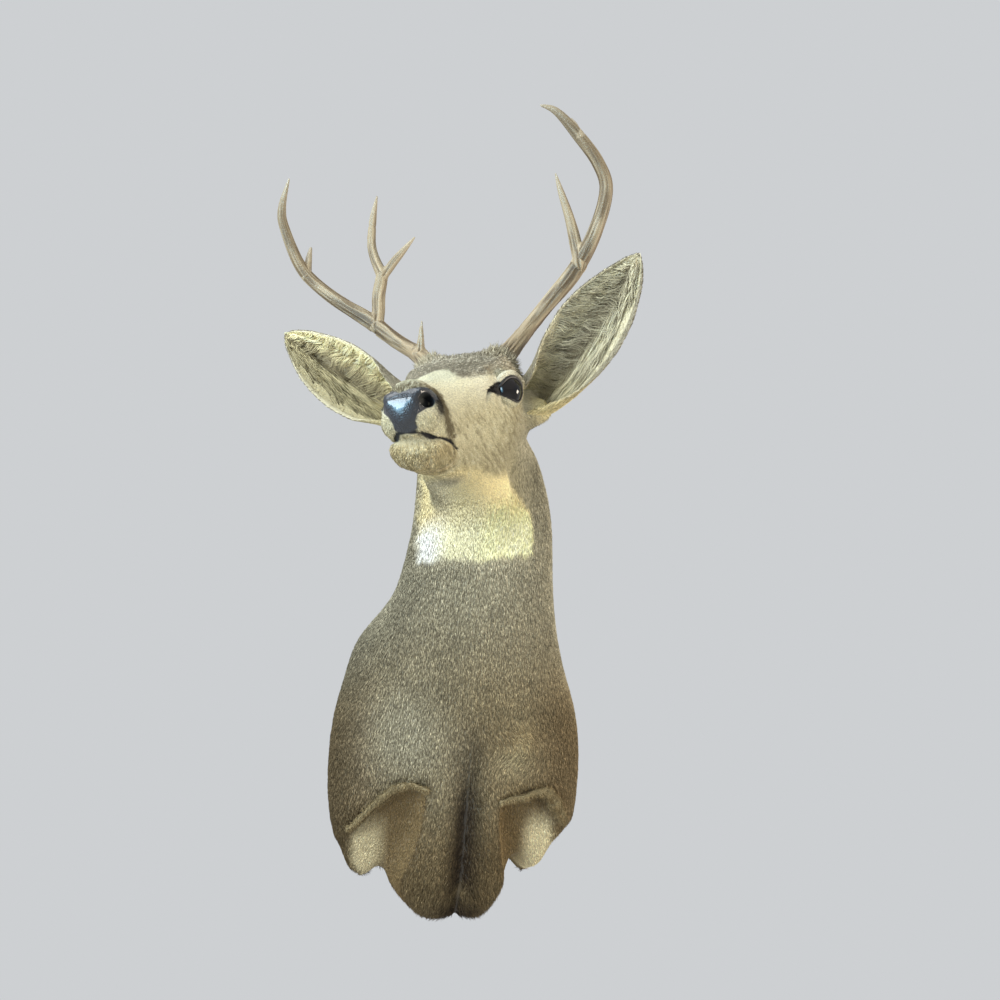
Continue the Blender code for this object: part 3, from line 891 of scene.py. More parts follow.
class HeadPose:
    """Where the head's frame stands in the mount."""

    def __init__(self) -> None:
        """Turns, nods and tilts the head."""
        turn = Euler((HEAD_NOD, HEAD_TILT, HEAD_TURN), "YXZ").to_matrix()
        self.turn = np.array(turn)
        self.place = np.array(HEAD_PLACE)

    def to_world(self, points: Array) -> Array:
        """Places from the head's frame in the mount's."""
        return points @ self.turn.T + self.place

    def to_head(self, points: Array) -> Array:
        """Places from the mount's frame in the head's."""
        return (points - self.place) @ self.turn

    def way_to_world(self, ways: Array) -> Array:
        """Directions from the head's frame in the mount's."""
        return ways @ self.turn.T


POSE = HeadPose()


def oval(count: int, squareness: Array, widest: Array) -> tuple[Array, Array]:
    """Across and up, from -1 to 1, of superellipses that start at the top.

    Across is sin(angle) and up is cos(angle), each raised to 2 / squareness with its sign kept.
    Up is then lifted by widest * (1 - up^2), which moves the widest place.

    Args:
        count: Points round each section.
        squareness: 2 for an ellipse and more for a squarer one, for each section.
        widest: How far the widest places are lifted, for each section.

    Returns:
        Across and up, with a row for each section.
    """
    angle = full_turn(count)[None, :]
    power = 2.0 / np.asarray(squareness)[:, None]
    across = np.sign(np.sin(angle)) * np.abs(np.sin(angle)) ** power
    up = np.sign(np.cos(angle)) * np.abs(np.cos(angle)) ** power
    return across, up + widest[:, None] * (1 - up**2)


def closed_loft(rings: Array) -> tuple[Array, Array]:
    """A closed surface through rings of points, as vertices and triangles facing out.

    Args:
        rings: Rows of points, ring by ring.

    Returns:
        Vertices and triangles.
    """
    points = tube_points(rings)
    triangles = triangles_of(tube_faces(*rings.shape[:2]))
    return points, outward(points, triangles)


def head_loft(rings: Array) -> tuple[Array, Array]:
    """A closed surface through rings of points that are in the head's frame."""
    return closed_loft(POSE.to_world(rings.reshape(-1, 3)).reshape(rings.shape))


def body_sections(count: int) -> tuple[Array, ...]:
    """The body's sections, evenly spaced.

    Args:
        count: How many sections.

    Returns:
        Middles, ways from there to the tops, half widths, widest places and squarenesses.
    """
    low_y, low_z, high_y, high_z, half, shift, widest, square = sampled(BODY_SECTIONS, count).T
    middle = np.stack((shift, (low_y + high_y) / 2, (low_z + high_z) / 2), -1)
    up = np.stack((0 * shift, high_y - low_y, high_z - low_z), -1) / 2
    return middle, up, half, widest, square


def path_distance(points: Array, path: Table, rows: int = 24) -> tuple[Array, Array]:
    """Distance from points to a smooth path, and how far along it the nearest place is.

    The path is cut into short straight pieces; each point is dropped onto every piece and the
    shortest drop counts.

    Args:
        points: Places in space.
        path: Rows of x, y, z.
        rows: How many places the path is sampled at.

    Returns:
        The distances, and the places along the path from 0 to 1.
    """
    line = sampled(path, rows)[:, :3]
    best = np.full(len(points), np.inf)
    where = np.zeros(len(points))
    for index in range(rows - 1):
        start, step = line[index], line[index + 1] - line[index]
        t = np.clip((points - start) @ step / (step @ step), 0, 1)
        gap = np.linalg.norm(points - start - t[:, None] * step, axis=1)
        closer = gap < best
        best[closer] = gap[closer]
        where[closer] = (index + t[closer]) / (rows - 1)
    return best, where


@dataclass(frozen=True)
class BodyForm:
    """The trunk and neck: sections from the board to the head."""

    around: int = 120
    rings: int = 110
    depth: float = 0.005  # of the coat over the skin

    def loft(self) -> tuple[Array, Array]:
        """The body's surface, inside its outline by the coat's depth.

        Each section is a superellipse from its lowest to its highest point: height runs along
        the line between them and width along X.

        Returns:
            Vertices and triangles.
        """
        middle, reach, half, widest, square = body_sections(self.rings)
        across, up = oval(self.around, square, widest)
        length = np.linalg.norm(reach, axis=1, keepdims=True)
        reach = reach * (length - self.depth) / length
        rings = middle[:, None, :] + up[:, :, None] * reach[:, None, :]
        rings[:, :, 0] += across * (half - self.depth)[:, None]
        return closed_loft(rings)


@dataclass(frozen=True)
class HeadForm:
    """The head, jaw and nose pad: sections along the muzzle."""

    around: int = 96
    rings: int = 90
    depth: float = 0.0018
    bare: float = 0.0  # the nose has no coat

    def loft(self, table: Table, depth: float) -> tuple[Array, Array]:
        """One piece of the head, inside its outline by a depth.

        Each section is a superellipse from bottom to top whose width grows with height by the
        flare.

        Args:
            table: The piece's sections.
            depth: How far inside its outline it stays, in metres.

        Returns:
            Vertices and triangles.
        """
        forward, top, bottom, half, widest, square, flare = sampled(table, self.rings).T
        across, up = oval(self.around, square, widest)
        across = across * (1 + flare[:, None] * up) / (1 + flare * widest)[:, None]
        x = across * (half - depth)[:, None]
        z = ((top + bottom) / 2)[:, None] + up * ((top - bottom) / 2 - depth)[:, None]
        y = np.broadcast_to(-forward[:, None], x.shape)
        return head_loft(np.stack((x, y, z), -1))

    def shapes(self) -> list[tuple[Array, Array]]:
        """The head, the jaw and the pad.

        Returns:
            Vertices and triangles of each.
        """
        return [
            self.loft(HEAD_SECTIONS, self.depth),
            self.loft(JAW_SECTIONS, self.depth),
            self.loft(PAD_SECTIONS, self.bare),
        ]


@dataclass(frozen=True)
class EarForm:
    """One ear: a cupped shell whose rows are arcs that its opening direction halves."""

    side: Side
    table: Table
    rows: int = 90
    columns: int = 44
    wall: float = 0.0042

    def frame_at(self, u: Array) -> tuple[Array, Array, Array, Array, Array]:
        """Middle of the back, path direction, opening direction, radius and half angle at u.

        Args:
            u: From 0 at the root to 1 at the tip.

        Returns:
            The five, with a row or a number for each place.
        """
        behind, rows, ahead = (
            along(self.table, (np.asarray(u) + step) * (len(self.table) - 1)) for step in (-0.01, 0, 0.01)
        )
        path = unit(ahead[:, :3] - behind[:, :3])
        way = np.array(EAR_FACES) * (self.side.value, 1, 1)
        forward = unit(way - path * (path @ way)[:, None])
        return rows[:, :3], path, forward, rows[:, 3], np.radians(rows[:, 4])

    def grid(self) -> tuple[Array, Array]:
        """Places along the ear and turns round its shell, ring by ring.

        Returns:
            u and the angle t for each place.
        """
        u = np.linspace(0.0, EAR_END, self.rows)
        along_ear, turn = np.meshgrid(u, full_turn(2 * self.columns), indexing="ij")
        return along_ear.ravel(), turn.ravel()

    def steps(self, u: Array, v: Array, depth: Array | float, step: float) -> tuple[Array, Array]:
        """Short ways along the sheet: towards the tip, and across it towards v = 1.

        Args:
            u: From 0 at the root to 1 at the tip.
            v: From -1 to 1 across.
            depth: How far inside the sheet's middle, towards the hollow.
            step: How far the ways reach on both sides, in u and in v.

        Returns:
            Both ways, as vectors.
        """
        tip, root = np.minimum(u + step, 1), np.maximum(u - step, 0)
        ahead = self.surface(tip, v, depth) - self.surface(root, v, depth)
        return ahead, self.surface(u, v + step, depth) - self.surface(u, v - step, depth)

    def surface(self, u: Array, v: Array, depth: Array | float) -> Array:
        """Points of the ear's sheet in the mount's frame.

        At u along the ear, the point lies on an arc of the row's radius less a depth, at v
        times the row's half angle from the middle of the back. Low folds follow the length.

        Args:
            u: From 0 at the root to 1 at the tip.
            v: From -1 to 1 across.
            depth: How far inside the sheet's middle, towards the hollow.

        Returns:
            The points.
        """
        middle, path, forward, radius, half = self.frame_at(u)
        sideways = np.cross(forward, path)
        angle = half * v
        ripple = 0.0011 * np.sin(9 * v + 5 * u) * smooth(0.12, 0.4, u) * (1 - smooth(0.85, 1.0, u))
        reach = radius - depth - ripple * smooth(0.0, 0.002, np.asarray(depth) + 0.0021)
        across = (reach * np.sin(angle))[:, None] * sideways
        deep = (radius - reach * np.cos(angle))[:, None] * forward
        return POSE.to_world(middle + across + deep)

    def shell(self) -> tuple[Array, Array]:
        """The closed shell: out over the back, round the rim and back inside the cup.

        Round each row the angle t goes from 0 to a full turn: v is cos(t) and the depth is
        half the wall times sin(t), flattened, so both rims are round.

        Returns:
            Vertices and triangles.
        """
        grid_u, grid_t = self.grid()
        thin = 1 - 0.6 * smooth(0.8, 1.0, grid_u)
        flat = np.sign(np.sin(grid_t)) * np.abs(np.sin(grid_t)) ** 0.55
        v = np.sign(np.cos(grid_t)) * np.abs(np.cos(grid_t)) ** 0.9
        points = self.surface(grid_u, v, self.wall / 2 * flat * thin)
        rings = points.reshape(self.rows, -1, 3)
        points = tube_points(rings)
        return points, turned_out(points, tube_faces(self.rows, rings.shape[1]))


@dataclass(frozen=True)
class BodyMap:
    """Finds places on the body by its own sections: how far along, round and out."""

    samples: int = 90

    def locate(self, points: Array) -> tuple[Array, Array, Array]:
        """Places in terms of the sections.

        Each point goes to the section whose plane it lies nearest to. In that plane its offset
        from the middle, divided by the half width and half height, gives the angle round the
        section and the reach: 1 on the outline.

        Args:
            points: Places in the mount's frame.

        Returns:
            Place along the table, angle from the top, and reach.
        """
        places = np.linspace(0, len(BODY_SECTIONS) - 1, self.samples)
        middle, up, half, widest, square = body_sections(self.samples)
        tall = np.linalg.norm(up, axis=1)
        up = up / tall[:, None]
        plane = np.cross((1.0, 0.0, 0.0), up)
        gap = np.abs(points @ plane.T - (middle * plane).sum(axis=1))
        far = (points**2).sum(1)[:, None] - 2 * points @ middle.T + (middle**2).sum(1)
        best = np.argmin(gap + 0.15 * np.sqrt(np.maximum(far, 0)), axis=1)
        offset = points - middle[best]
        a = offset[:, 0] / half[best]
        b = (offset * up[best]).sum(axis=1) / tall[best]
        b = b - widest[best] * (1 - np.minimum(b * b, 1))
        power = square[best]
        reach = (np.abs(a) ** power + np.abs(b) ** power) ** (1 / power)
        return places[best], np.arctan2(a, b), reach


class Spots:
    """Points of the mount with what its markings and its hair need to know about them."""

    def __init__(self, points: Array, normals: Array | None = None) -> None:
        """Works out the head's coordinates of each point.

        Args:
            points: Places in the mount's frame.
            normals: The surface's directions there, where they matter.
        """
        self.points = points
        self.normals = np.zeros_like(points) if normals is None else normals
        self.x, self.y, self.z = points.T
        self.head = POSE.to_head(points)
        self.left = self.head[:, 0]
        self.forward = -self.head[:, 1]
        self.up = self.head[:, 2]
        self.out = np.abs(self.left)
        self.half = self.head * (1, 1, 1)
        self.half[:, 0] = self.out
        tops = sampled(HEAD_SECTIONS, 60)
        self.below_top = np.interp(self.forward, tops[:, 0], tops[:, 1]) - self.up

    def on_head(self) -> Array:
        """1 on the head and jaw, falling to 0 where the neck begins."""
        back = smooth(-0.085, -0.045, self.forward + 0.25 * np.minimum(self.up + 0.03, 0))
        return back * smooth(-0.135, -0.110, self.up)

    def eye_polar(self) -> tuple[Array, Array, Array]:
        """Where points lie about the nearer eye, in polar terms.

        The direction from the eyeball's centre is split into its angle off the eye's axis and
        its turn about it, from the front (0) upwards.

        Returns:
            Turn about the axis, angle off the axis, and distance from the centre.
        """
        offset = self.half - np.array(EYE_CENTRE)
        distance = np.linalg.norm(offset, axis=1)
        way = offset / np.maximum(distance, 1e-9)[:, None]
        axis, front, over = eye_axes()
        turn = np.arctan2(way @ over, way @ front)
        return turn, np.arccos(np.clip(way @ axis, -1, 1)), distance


def eye_axes() -> tuple[Array, Array, Array]:
    """The left eye's axis, the way towards the front across it, and the way over it.

    Returns:
        Three unit vectors.
    """
    axis = unit(np.array((0.88, -0.47, 0.0)))
    front = np.array((0.0, -1.0, -0.2))
    front = unit(front - axis * (front @ axis))
    return axis, front, -np.cross(axis, front)


@dataclass(frozen=True)
class EyeOpening:
    """The almond between the lids: how far it reaches off the eye's axis at each turn."""

    edges: Table = (
        (-180, 0.74), (-150, 0.77), (-118, 0.82), (-90, 0.76), (-60, 0.70), (-30, 0.80), (-8, 1.06),
        (12, 1.30), (30, 1.08), (56, 0.92), (95, 0.83), (121, 0.81), (147, 0.78), (180, 0.74),
    )  # degrees, radians

    def edge(self, turn: Array) -> Array:
        """The opening's reach at a turn, on a smooth curve through the table."""
        rows = sampled(self.edges, 120)
        return np.interp(np.degrees(turn), rows[:, 0], rows[:, 1])

    def inside(self, turn: Array, angle: Array) -> Array:
        """How far inside the opening a direction is, in radians; negative outside."""
        return self.edge(turn) - angle


OPENING = EyeOpening()


def tone(red: float, green: float, blue: float) -> tuple[float, ...]:
    """A colour given on a 0 to 255 scale, as linear light."""
    value = np.array((red, green, blue)) / 255
    return tuple(np.where(value > 0.04045, ((value + 0.055) / 1.055) ** 2.4, value / 12.92))


@dataclass(frozen=True)
class CoatTones:
    """The coat's colours."""

    neck: tuple = tone(182, 175, 149)
    chest: tuple = tone(153, 139, 107)
    shoulder: tuple = tone(133, 116, 86)
    flank: tuple = tone(124, 111, 85)
    brisket: tuple = tone(121, 104, 73)
    # The dark midline; also used for painted shade under the hems and in the ears' holes.
    strip: tuple = tone(54, 43, 33)
    whorl: tuple = tone(176, 163, 126)
    white: tuple = tone(250, 250, 240)
    # The throat's white as the warm light colours it: a painted light tone.
    warm_lit_white: tuple = tone(255, 252, 196)
    throat: tuple = tone(232, 218, 168)
    cream: tuple = tone(228, 226, 198)
    cheek: tuple = tone(206, 198, 162)
    rear_cheek: tuple = tone(176, 167, 134)
    jaw: tuple = tone(184, 175, 140)
    chin: tuple = tone(202, 187, 143)
    ring: tuple = tone(226, 222, 196)
    forehead: tuple = tone(134, 127, 108)
    crown: tuple = tone(206, 200, 178)
    tan_tuft: tuple = tone(186, 168, 124)
    black: tuple = tone(20, 19, 20)
    lip: tuple = tone(26, 24, 23)
    band: tuple = tone(112, 103, 78)
    # Painted shade for the chin's crease.
    crease: tuple = tone(118, 100, 74)
    recess: tuple = tone(140, 120, 84)
    lobe: tuple = tone(241, 227, 184)
    hem: tuple = tone(152, 137, 102)
    middle_white: tuple = tone(236, 231, 192)
    backing: tuple = tone(104, 95, 82)
    ear_back: tuple = tone(150, 142, 120)
    ear_pale: tuple = tone(236, 229, 196)
    ear_core: tuple = tone(120, 110, 86)
    ear_lobe: tuple = tone(222, 210, 160)


TONES = CoatTones()


@dataclass(frozen=True)
class Markings:
    """Where the coat changes colour, as named zones of the deer."""

    body: BodyMap = BodyMap()

    def on_body(self, s: Spots) -> Array:
        """Grizzled neck, browner chest and shoulders, dark midline and pale whorl.

        Args:
            s: The spots.

        Returns:
            The body's colours.
        """
        t = TONES
        colour = np.broadcast_to(t.chest, s.points.shape).copy()
        colour = blend(colour, t.neck, smooth(-0.02, 0.17, s.z))
        side = smooth(0.06, 0.14, np.abs(s.x)) * (1 - smooth(-0.02, 0.10, s.z))
        colour = blend(colour, t.shoulder, 0.9 * side)
        colour = blend(colour, t.flank, smooth(-0.10, -0.02, s.y) * 0.5)
        nape = smooth(0.0, 0.8, s.normals[:, 1] + 0.4 * s.normals[:, 2]) * smooth(0.05, 0.2, s.z)
        colour = blend(colour, t.shoulder, 0.6 * nape)
        low = smooth(-0.08, -0.17, s.z)
        colour = blend(colour, t.brisket, 0.8 * low)
        wide = 0.006 + 0.014 * smooth(-0.05, -0.16, s.z)
        strip = hill(s.x, 0.0, wide) * smooth(-0.045, -0.12, s.z) * smooth(-0.10, -0.13, s.y)
        strip = np.maximum(strip, hill(s.x, 0.0, 0.03) * smooth(-0.19, -0.225, s.z))
        colour = blend(colour, t.strip, 0.92 * strip)
        rise = hill(s.x, 0.0, 0.022) * smooth(0.02, -0.06, s.z) * smooth(-0.15, -0.10, s.z)
        colour = blend(colour, t.strip, 0.62 * (rise * smooth(-0.10, -0.13, s.y)))
        whorl = knoll(s.points, (0.066, -0.220, -0.040), (0.016, 0.03, 0.030))
        colour = blend(colour, t.whorl, 0.75 * whorl)
        lit = knoll(s.points, (-0.075, -0.18, -0.01), (0.055, 0.08, 0.07))
        colour = blend(colour, t.neck, np.minimum(1.2 * lit, 0.9))
        # Painted light and shade: the coat is darker towards the deer's right edge and lighter on its left
        # side, as the light falls.
        colour = colour * (1 - 0.30 * smooth(-0.12, -0.165, s.x) + 0.12 * smooth(0.05, 0.12, s.x))[:, None]
        # Painted shade on the neck's right edge, where the surface turns away sideways.
        neck_edge_shade = smooth(0.35, 0.9, -s.normals[:, 0]) * smooth(0.02, 0.08, s.z) * smooth(0.26, 0.22, s.z)
        colour = colour * (1 - 0.26 * neck_edge_shade)[:, None]
        jaw = knoll(s.half, (0.055, 0.035, -0.095), (0.045, 0.055, 0.045))
        colour = blend(colour, t.rear_cheek, 0.8 * np.minimum(1.4 * jaw, 1))
        clump = lattice_noise(s.points, (0.016, 0.016, 0.009), 12)
        clump = clump + lattice_noise(s.points, (0.035, 0.035, 0.028), 13)
        return colour * (1 + 0.085 * clump * smooth(0.3, 0.15, s.on_head()))[:, None]

    def inside_legs(self, s: Spots) -> tuple[Array, Array]:
        """1 on the inner skin of the leg cuts, and the reach in the body's sections.

        Args:
            s: The spots.

        Returns:
            Both, for each spot.
        """
        _, _, reach = self.body.locate(s.points)
        inner = smooth(0.955, 0.90, reach) * smooth(-0.055, -0.075, s.z)
        return inner * smooth(-0.03, -0.055, s.y) * smooth(0.03, 0.045, np.abs(s.x)), reach

    def leg_cuts(self, s: Spots, colour: Array) -> Array:
        """Tan inner skin under each leg's hem with a painted shadow just below the hem, and the cream lobe
        at the leg's end.

        Args:
            s: The spots.
            colour: The colours so far.

        Returns:
            The colours with these laid over.
        """
        inner, reach = self.inside_legs(s)
        colour = blend(colour, TONES.recess, inner)
        # Painted shadow: the recess is darkened just below the hem, where the roll overhangs it.
        colour = blend(colour, TONES.strip, 0.55 * hill(reach, 0.915, 0.022) * inner)
        left = s.x > 0
        lobe = np.where(left, smooth(0.075, 0.100, s.x), smooth(0.088, 0.115, -s.x))
        lobe = lobe * smooth(-0.10, -0.135, s.z) * inner
        return blend(colour, TONES.lobe, lobe * np.where(left, 0.95, 0.75))

    def throat(self, s: Spots, colour: Array) -> Array:
        """The tan throat, and the white patch below it with its straight lower edge.

        Args:
            s: The spots.
            colour: The colours so far.

        Returns:
            The colours with these laid over.
        """
        t = TONES
        wobble = 0.004 * lattice_noise(s.points, 0.012, 3) + 0.002 * lattice_noise(s.points, 0.004, 4)
        front = smooth(0.15, -0.25, s.normals[:, 1])
        x = s.x + wobble
        z = s.z + wobble
        bottom = 0.172 + 2.4 * (s.x + 0.012) ** 2
        roof = np.interp(
            s.x,
            (-0.09, -0.044, 0.0, 0.035, 0.055, 0.066, 0.074),
            (0.32, 0.29, 0.258, 0.257, 0.246, 0.230, 0.185),
        )
        inside = smooth(-0.084, -0.074, x) * smooth(0.072, 0.064, x) * front
        inside = inside * smooth(roof + 0.006, roof - 0.010, z)
        # Painted light: the tan is lighter towards the deer's left, where the warm light falls.
        tan = np.array(t.throat) * (0.97 + 0.24 * smooth(-0.03, 0.03, s.x))[:, None]
        colour = blend(colour, tan, inside * smooth(0.19, 0.205, z))
        top = 0.212 + 0.20 * np.maximum(-0.03 - s.x, 0) + 0.45 * np.maximum(s.x - 0.01, 0)
        patch = smooth(bottom - 0.003, bottom + 0.005, z) * smooth(top + 0.016, top - 0.016, s.z)
        # Painted light: the patch is cool-lit white on the deer's right, a dimmer tone in the middle, and
        # warm-lit and brighter on its left.
        white = np.broadcast_to(t.white, colour.shape)
        white = blend(white, t.middle_white, smooth(-0.070, -0.040, s.x))
        white = blend(white, t.warm_lit_white, smooth(-0.02, 0.02, s.x))
        white = white * (1 + 0.12 * smooth(-0.01, 0.04, s.x))[:, None]
        return blend(colour, white, patch * inside)

    @staticmethod
    def cheek_edge(s: Spots) -> Array:
        """1 in front of the line where the cheek gives way to the grizzled neck.

        Args:
            s: The spots.

        Returns:
            Shares from 0 to 1.
        """
        line = np.interp(
            s.up,
            (-0.11, -0.089, -0.071, -0.053, -0.028, -0.011, 0.02),
            (-0.030, -0.018, -0.030, -0.040, -0.040, -0.031, -0.030),
        )
        line = np.where(s.out < 0.035, line - 0.20 * smooth(0.038, 0.012, s.out), line)
        return smooth(-0.024, 0.020, s.forward - line + 0.011 * Markings.streaks(s))

    @staticmethod
    def streaks(s: Spots) -> Array:
        """Noise drawn out along the hair of the cheeks, which runs back and down.

        Args:
            s: The spots.

        Returns:
            The noise at each spot.
        """
        y, z = s.head[:, 1], s.head[:, 2]
        place = np.stack((s.head[:, 0], 0.85 * y - 0.5 * z, 0.5 * y + 0.85 * z), -1)
        coarse = lattice_noise(place, (0.0032, 0.0120, 0.0032), 9)
        return 0.6 * coarse + 0.6 * lattice_noise(place, (0.0016, 0.0062, 0.0016), 10)

    @staticmethod
    def forehead_edge(s: Spots) -> Array:
        """1 behind the scalloped front edge of the dark forehead.

        Args:
            s: The spots.

        Returns:
            Shares from 0 to 1.
        """
        line = np.interp(
            s.out,
            (0.0, 0.008, 0.015, 0.026, 0.033, 0.039, 0.045, 0.051, 0.058, 0.064),
            (0.046, 0.049, 0.060, 0.071, 0.067, 0.057, 0.045, 0.033, 0.018, 0.000),
        )
        wobble = 0.0030 * lattice_noise(s.points, 0.006, 6) + 0.005 * Markings.streaks(s)
        return smooth(0.007, -0.009, s.forward - line + wobble) * smooth(0.050, 0.034, s.below_top)

    @staticmethod
    def cheeks(s: Spots, streak: Array) -> Array:
        """Tan cheeks, jaw and chin with drawn-out streaks, and the cream bridge of the nose.

        Args:
            s: The spots.
            streak: Noise drawn out along the hair.

        Returns:
            The face's colours.
        """
        t = TONES
        face = np.broadcast_to(t.cheek, s.points.shape).copy()
        face = blend(face, t.jaw, smooth(-0.045, -0.085, s.up) * smooth(0.10, 0.06, s.forward))
        face = blend(face, t.rear_cheek, smooth(0.02, -0.03, s.forward))
        under = smooth(-0.080, -0.094, s.up) * smooth(0.10, 0.06, s.forward) * smooth(0.048, 0.028, s.out)
        face = blend(face, t.throat, under)
        face = blend(face, t.chin, smooth(-0.060, -0.066, s.up) * smooth(0.085, 0.11, s.forward))
        plain = smooth(0.045, 0.015, s.below_top) * smooth(-0.02, 0.02, s.forward)
        face = blend(face, t.band, np.clip(0.58 * smooth(-0.2, 0.9, streak) * (1 - 0.8 * plain), 0, 1))
        face = blend(face, t.cream, np.clip(0.45 * smooth(0.0, -1.0, streak), 0, 1))
        bridge = smooth(0.052, 0.014, s.below_top) * smooth(-0.02, 0.01, s.forward)
        return blend(face, t.cream, 0.85 * bridge)

    @staticmethod
    def eyes(s: Spots, face: Array) -> tuple[Array, Array, Array]:
        """Pale rings round the eyes, black lids and tear ducts.

        Args:
            s: The spots.
            face: The face's colours so far.

        Returns:
            The colours, 1 on the eye rings, and how strong a ring is at each turn.
        """
        t = TONES
        turn, angle, distance = s.eye_polar()
        inside = OPENING.inside(turn, angle)
        near = smooth(0.042, 0.028, distance)
        over = smooth(-0.1, 0.5, np.sin(turn))
        ring = smooth(-0.64 - 0.22 * over, -0.34, inside) * near
        ring = ring * smooth(-0.024, -0.004, s.forward + 0.3 * s.up)
        behind = smooth(-0.2, -0.7, np.cos(turn))
        over = (0.30 + 0.65 * over) * (1 - 0.85 * behind)
        before = knoll(s.half, (0.050, -0.048, 0.008), (0.017, 0.028, 0.016))
        face = blend(face, t.ring, 0.9 * np.minimum(1.4 * before, 1))
        face = blend(face, t.jaw, 0.6 * behind * near * smooth(-1.0, -0.6, inside))
        face = blend(face, t.ring, ring * over)
        face = blend(face, t.lip, smooth(-0.10, -0.02, inside) * near)
        duct, where = path_distance(s.half, TEAR_DUCT, 12)
        black = np.interp(where, (0, 0.3, 0.6, 0.8, 1), (0.0085, 0.0062, 0.0034, 0.0026, 0.0010))
        return blend(face, t.lip, smooth(black + 0.0008, black - 0.0006, duct)), ring, over

    def brow(self, s: Spots, face: Array, grain: Array, ring: Array, over: Array) -> Array:
        """The dark forehead, grizzled towards the crown, and tan hair at the antlers' roots.

        Args:
            s: The spots.
            face: The face's colours so far.
            grain: Finer noise.
            ring: 1 on the eye rings.
            over: How strong a ring is at each turn.

        Returns:
            The face's colours.
        """
        t = TONES
        edge = smooth(-0.055, 0.030, s.forward)
        dark = smooth(-0.9, 0.9, grain + 1.05 * edge - 0.42)
        brow = blend(np.broadcast_to(t.crown, face.shape), t.forehead, dark)
        face = blend(face, brow, self.forehead_edge(s) * (1 - 0.8 * ring * over))
        pedicle = knoll(s.half, ANTLER_PEDICLE, (0.020, 0.020, 0.016))
        return blend(face, t.tan_tuft, 0.8 * pedicle)

    @staticmethod
    def muzzle(s: Spots, face: Array, streak: Array, grain: Array) -> Array:
        """The pale upper lip, the dark bands beside the nose and the hair's edge above it.

        Args:
            s: The spots.
            face: The face's colours so far.
            streak: Noise drawn out along the hair.
            grain: Finer noise.

        Returns:
            The face's colours.
        """
        t = TONES
        lip_white = np.maximum(
            knoll(s.half, (0.021, -0.163, -0.043), (0.011, 0.016, 0.010)),
            knoll(s.half, (0.026, -0.140, -0.049), (0.012, 0.018, 0.008)),
        )
        lip_white = 0.85 * smooth(0.30, 0.70, lip_white) * (s.up > -0.0575)
        face = blend(face, np.array(t.cream) * (0.84, 0.81, 0.72), lip_white)
        band, where = path_distance(s.half, NOSE_BAND, 12)
        soft = 0.0030 * lattice_noise(s.points, 0.0045, 8) + 0.0025 * streak
        wide = np.interp(where, (0, 0.4, 1), (0.0160, 0.0140, 0.0085))
        face = blend(face, t.band, smooth(1.0, 0.30, (band + soft) / wide))
        beside = knoll(s.half, (0.031, -0.150, -0.026), (0.007, 0.0075, 0.012))
        face = blend(face, t.lip, np.minimum(1.5 * beside, 0.9))
        fringe = smooth(0.0130, 0.002, s.up + 0.0112) * smooth(0.146, 0.154, s.forward)
        fringe = fringe * smooth(0.031, 0.026, s.out)
        fringe = fringe * (0.55 + 0.45 * smooth(-0.5, 0.5, grain)) * (s.up > -0.016)
        return blend(face, t.band, fringe)

    @staticmethod
    def lips(s: Spots, face: Array) -> Array:
        """The mouth's black line and corner, painted shade along the chin's crease and two dark whisker
        spots.

        Args:
            s: The spots.
            face: The face's colours so far.

        Returns:
            The face's colours.
        """
        t = TONES
        crease, _ = path_distance(s.half, CHIN_CREASE, 12)
        # Painted shade darkening the groove of the chin's crease.
        face = blend(face, t.crease, 0.75 * smooth(0.0055, 0.0015, crease))
        mouth, where = path_distance(s.half, MOUTH_LINE, 20)
        wide = np.interp(
            where, (0, 0.3, 0.42, 0.6, 0.9, 1.0), (0.0046, 0.0043, 0.0031, 0.0026, 0.0022, 0.0018)
        )
        face = blend(face, t.lip, smooth(wide + 0.0012, wide - 0.0006, mouth))
        corner, _ = path_distance(s.half, MOUTH_CORNER, 8)
        face = blend(face, t.lip, 0.9 * smooth(0.0036, 0.0014, corner))
        for spot in ((0.0615, -0.046, 0.0105), (0.0575, -0.056, -0.001)):
            face = blend(face, t.band, 0.9 * knoll(s.half, spot, (0.004, 0.0032, 0.0028)))
        return face

    def on_head(self, s: Spots, colour: Array) -> Array:
        """The face's colours laid over the neck's, up to the cheek's rear edge and the throat.

        Args:
            s: The spots.
            colour: The colours so far.

        Returns:
            The colours with the face laid over.
        """
        streak = self.streaks(s)
        grain = 0.7 * lattice_noise(s.head, (0.0024, 0.0090, 0.0030), 14)
        grain += 0.9 * lattice_noise(s.head, (0.0013, 0.005, 0.0018), 15)
        face, ring, over = self.eyes(s, self.cheeks(s, streak))
        face = self.brow(s, face, grain, ring, over)
        face = self.lips(s, self.muzzle(s, face, streak, grain))
        gullet = smooth(-0.090, -0.103, s.up) * smooth(0.085, 0.055, s.forward)
        return blend(colour, face, s.on_head() * self.cheek_edge(s) * (1 - gullet))

    def colours(self, s: Spots) -> Array:
        """The coat's colour at each spot.

        Args:
            s: The spots.

        Returns:
            Red, green and blue for each spot.
        """
        colour = self.leg_cuts(s, self.on_body(s))
        colour = self.on_head(s, self.throat(s, colour))
        lobe = knoll(s.half, (0.103, 0.064, -0.012), (0.020, 0.024, 0.016))
        colour = blend(colour, TONES.ear_lobe, np.minimum(1.5 * lobe, 1))
        colour = blend(colour, TONES.black, self.nose(s))
        rear = smooth(0.6, 0.9, s.normals[:, 1]) * smooth(-0.024, -0.016, s.y)
        colour = blend(colour, TONES.backing, rear)
        return blend(colour, (0.034, 0.037, 0.031), self.pit(s))

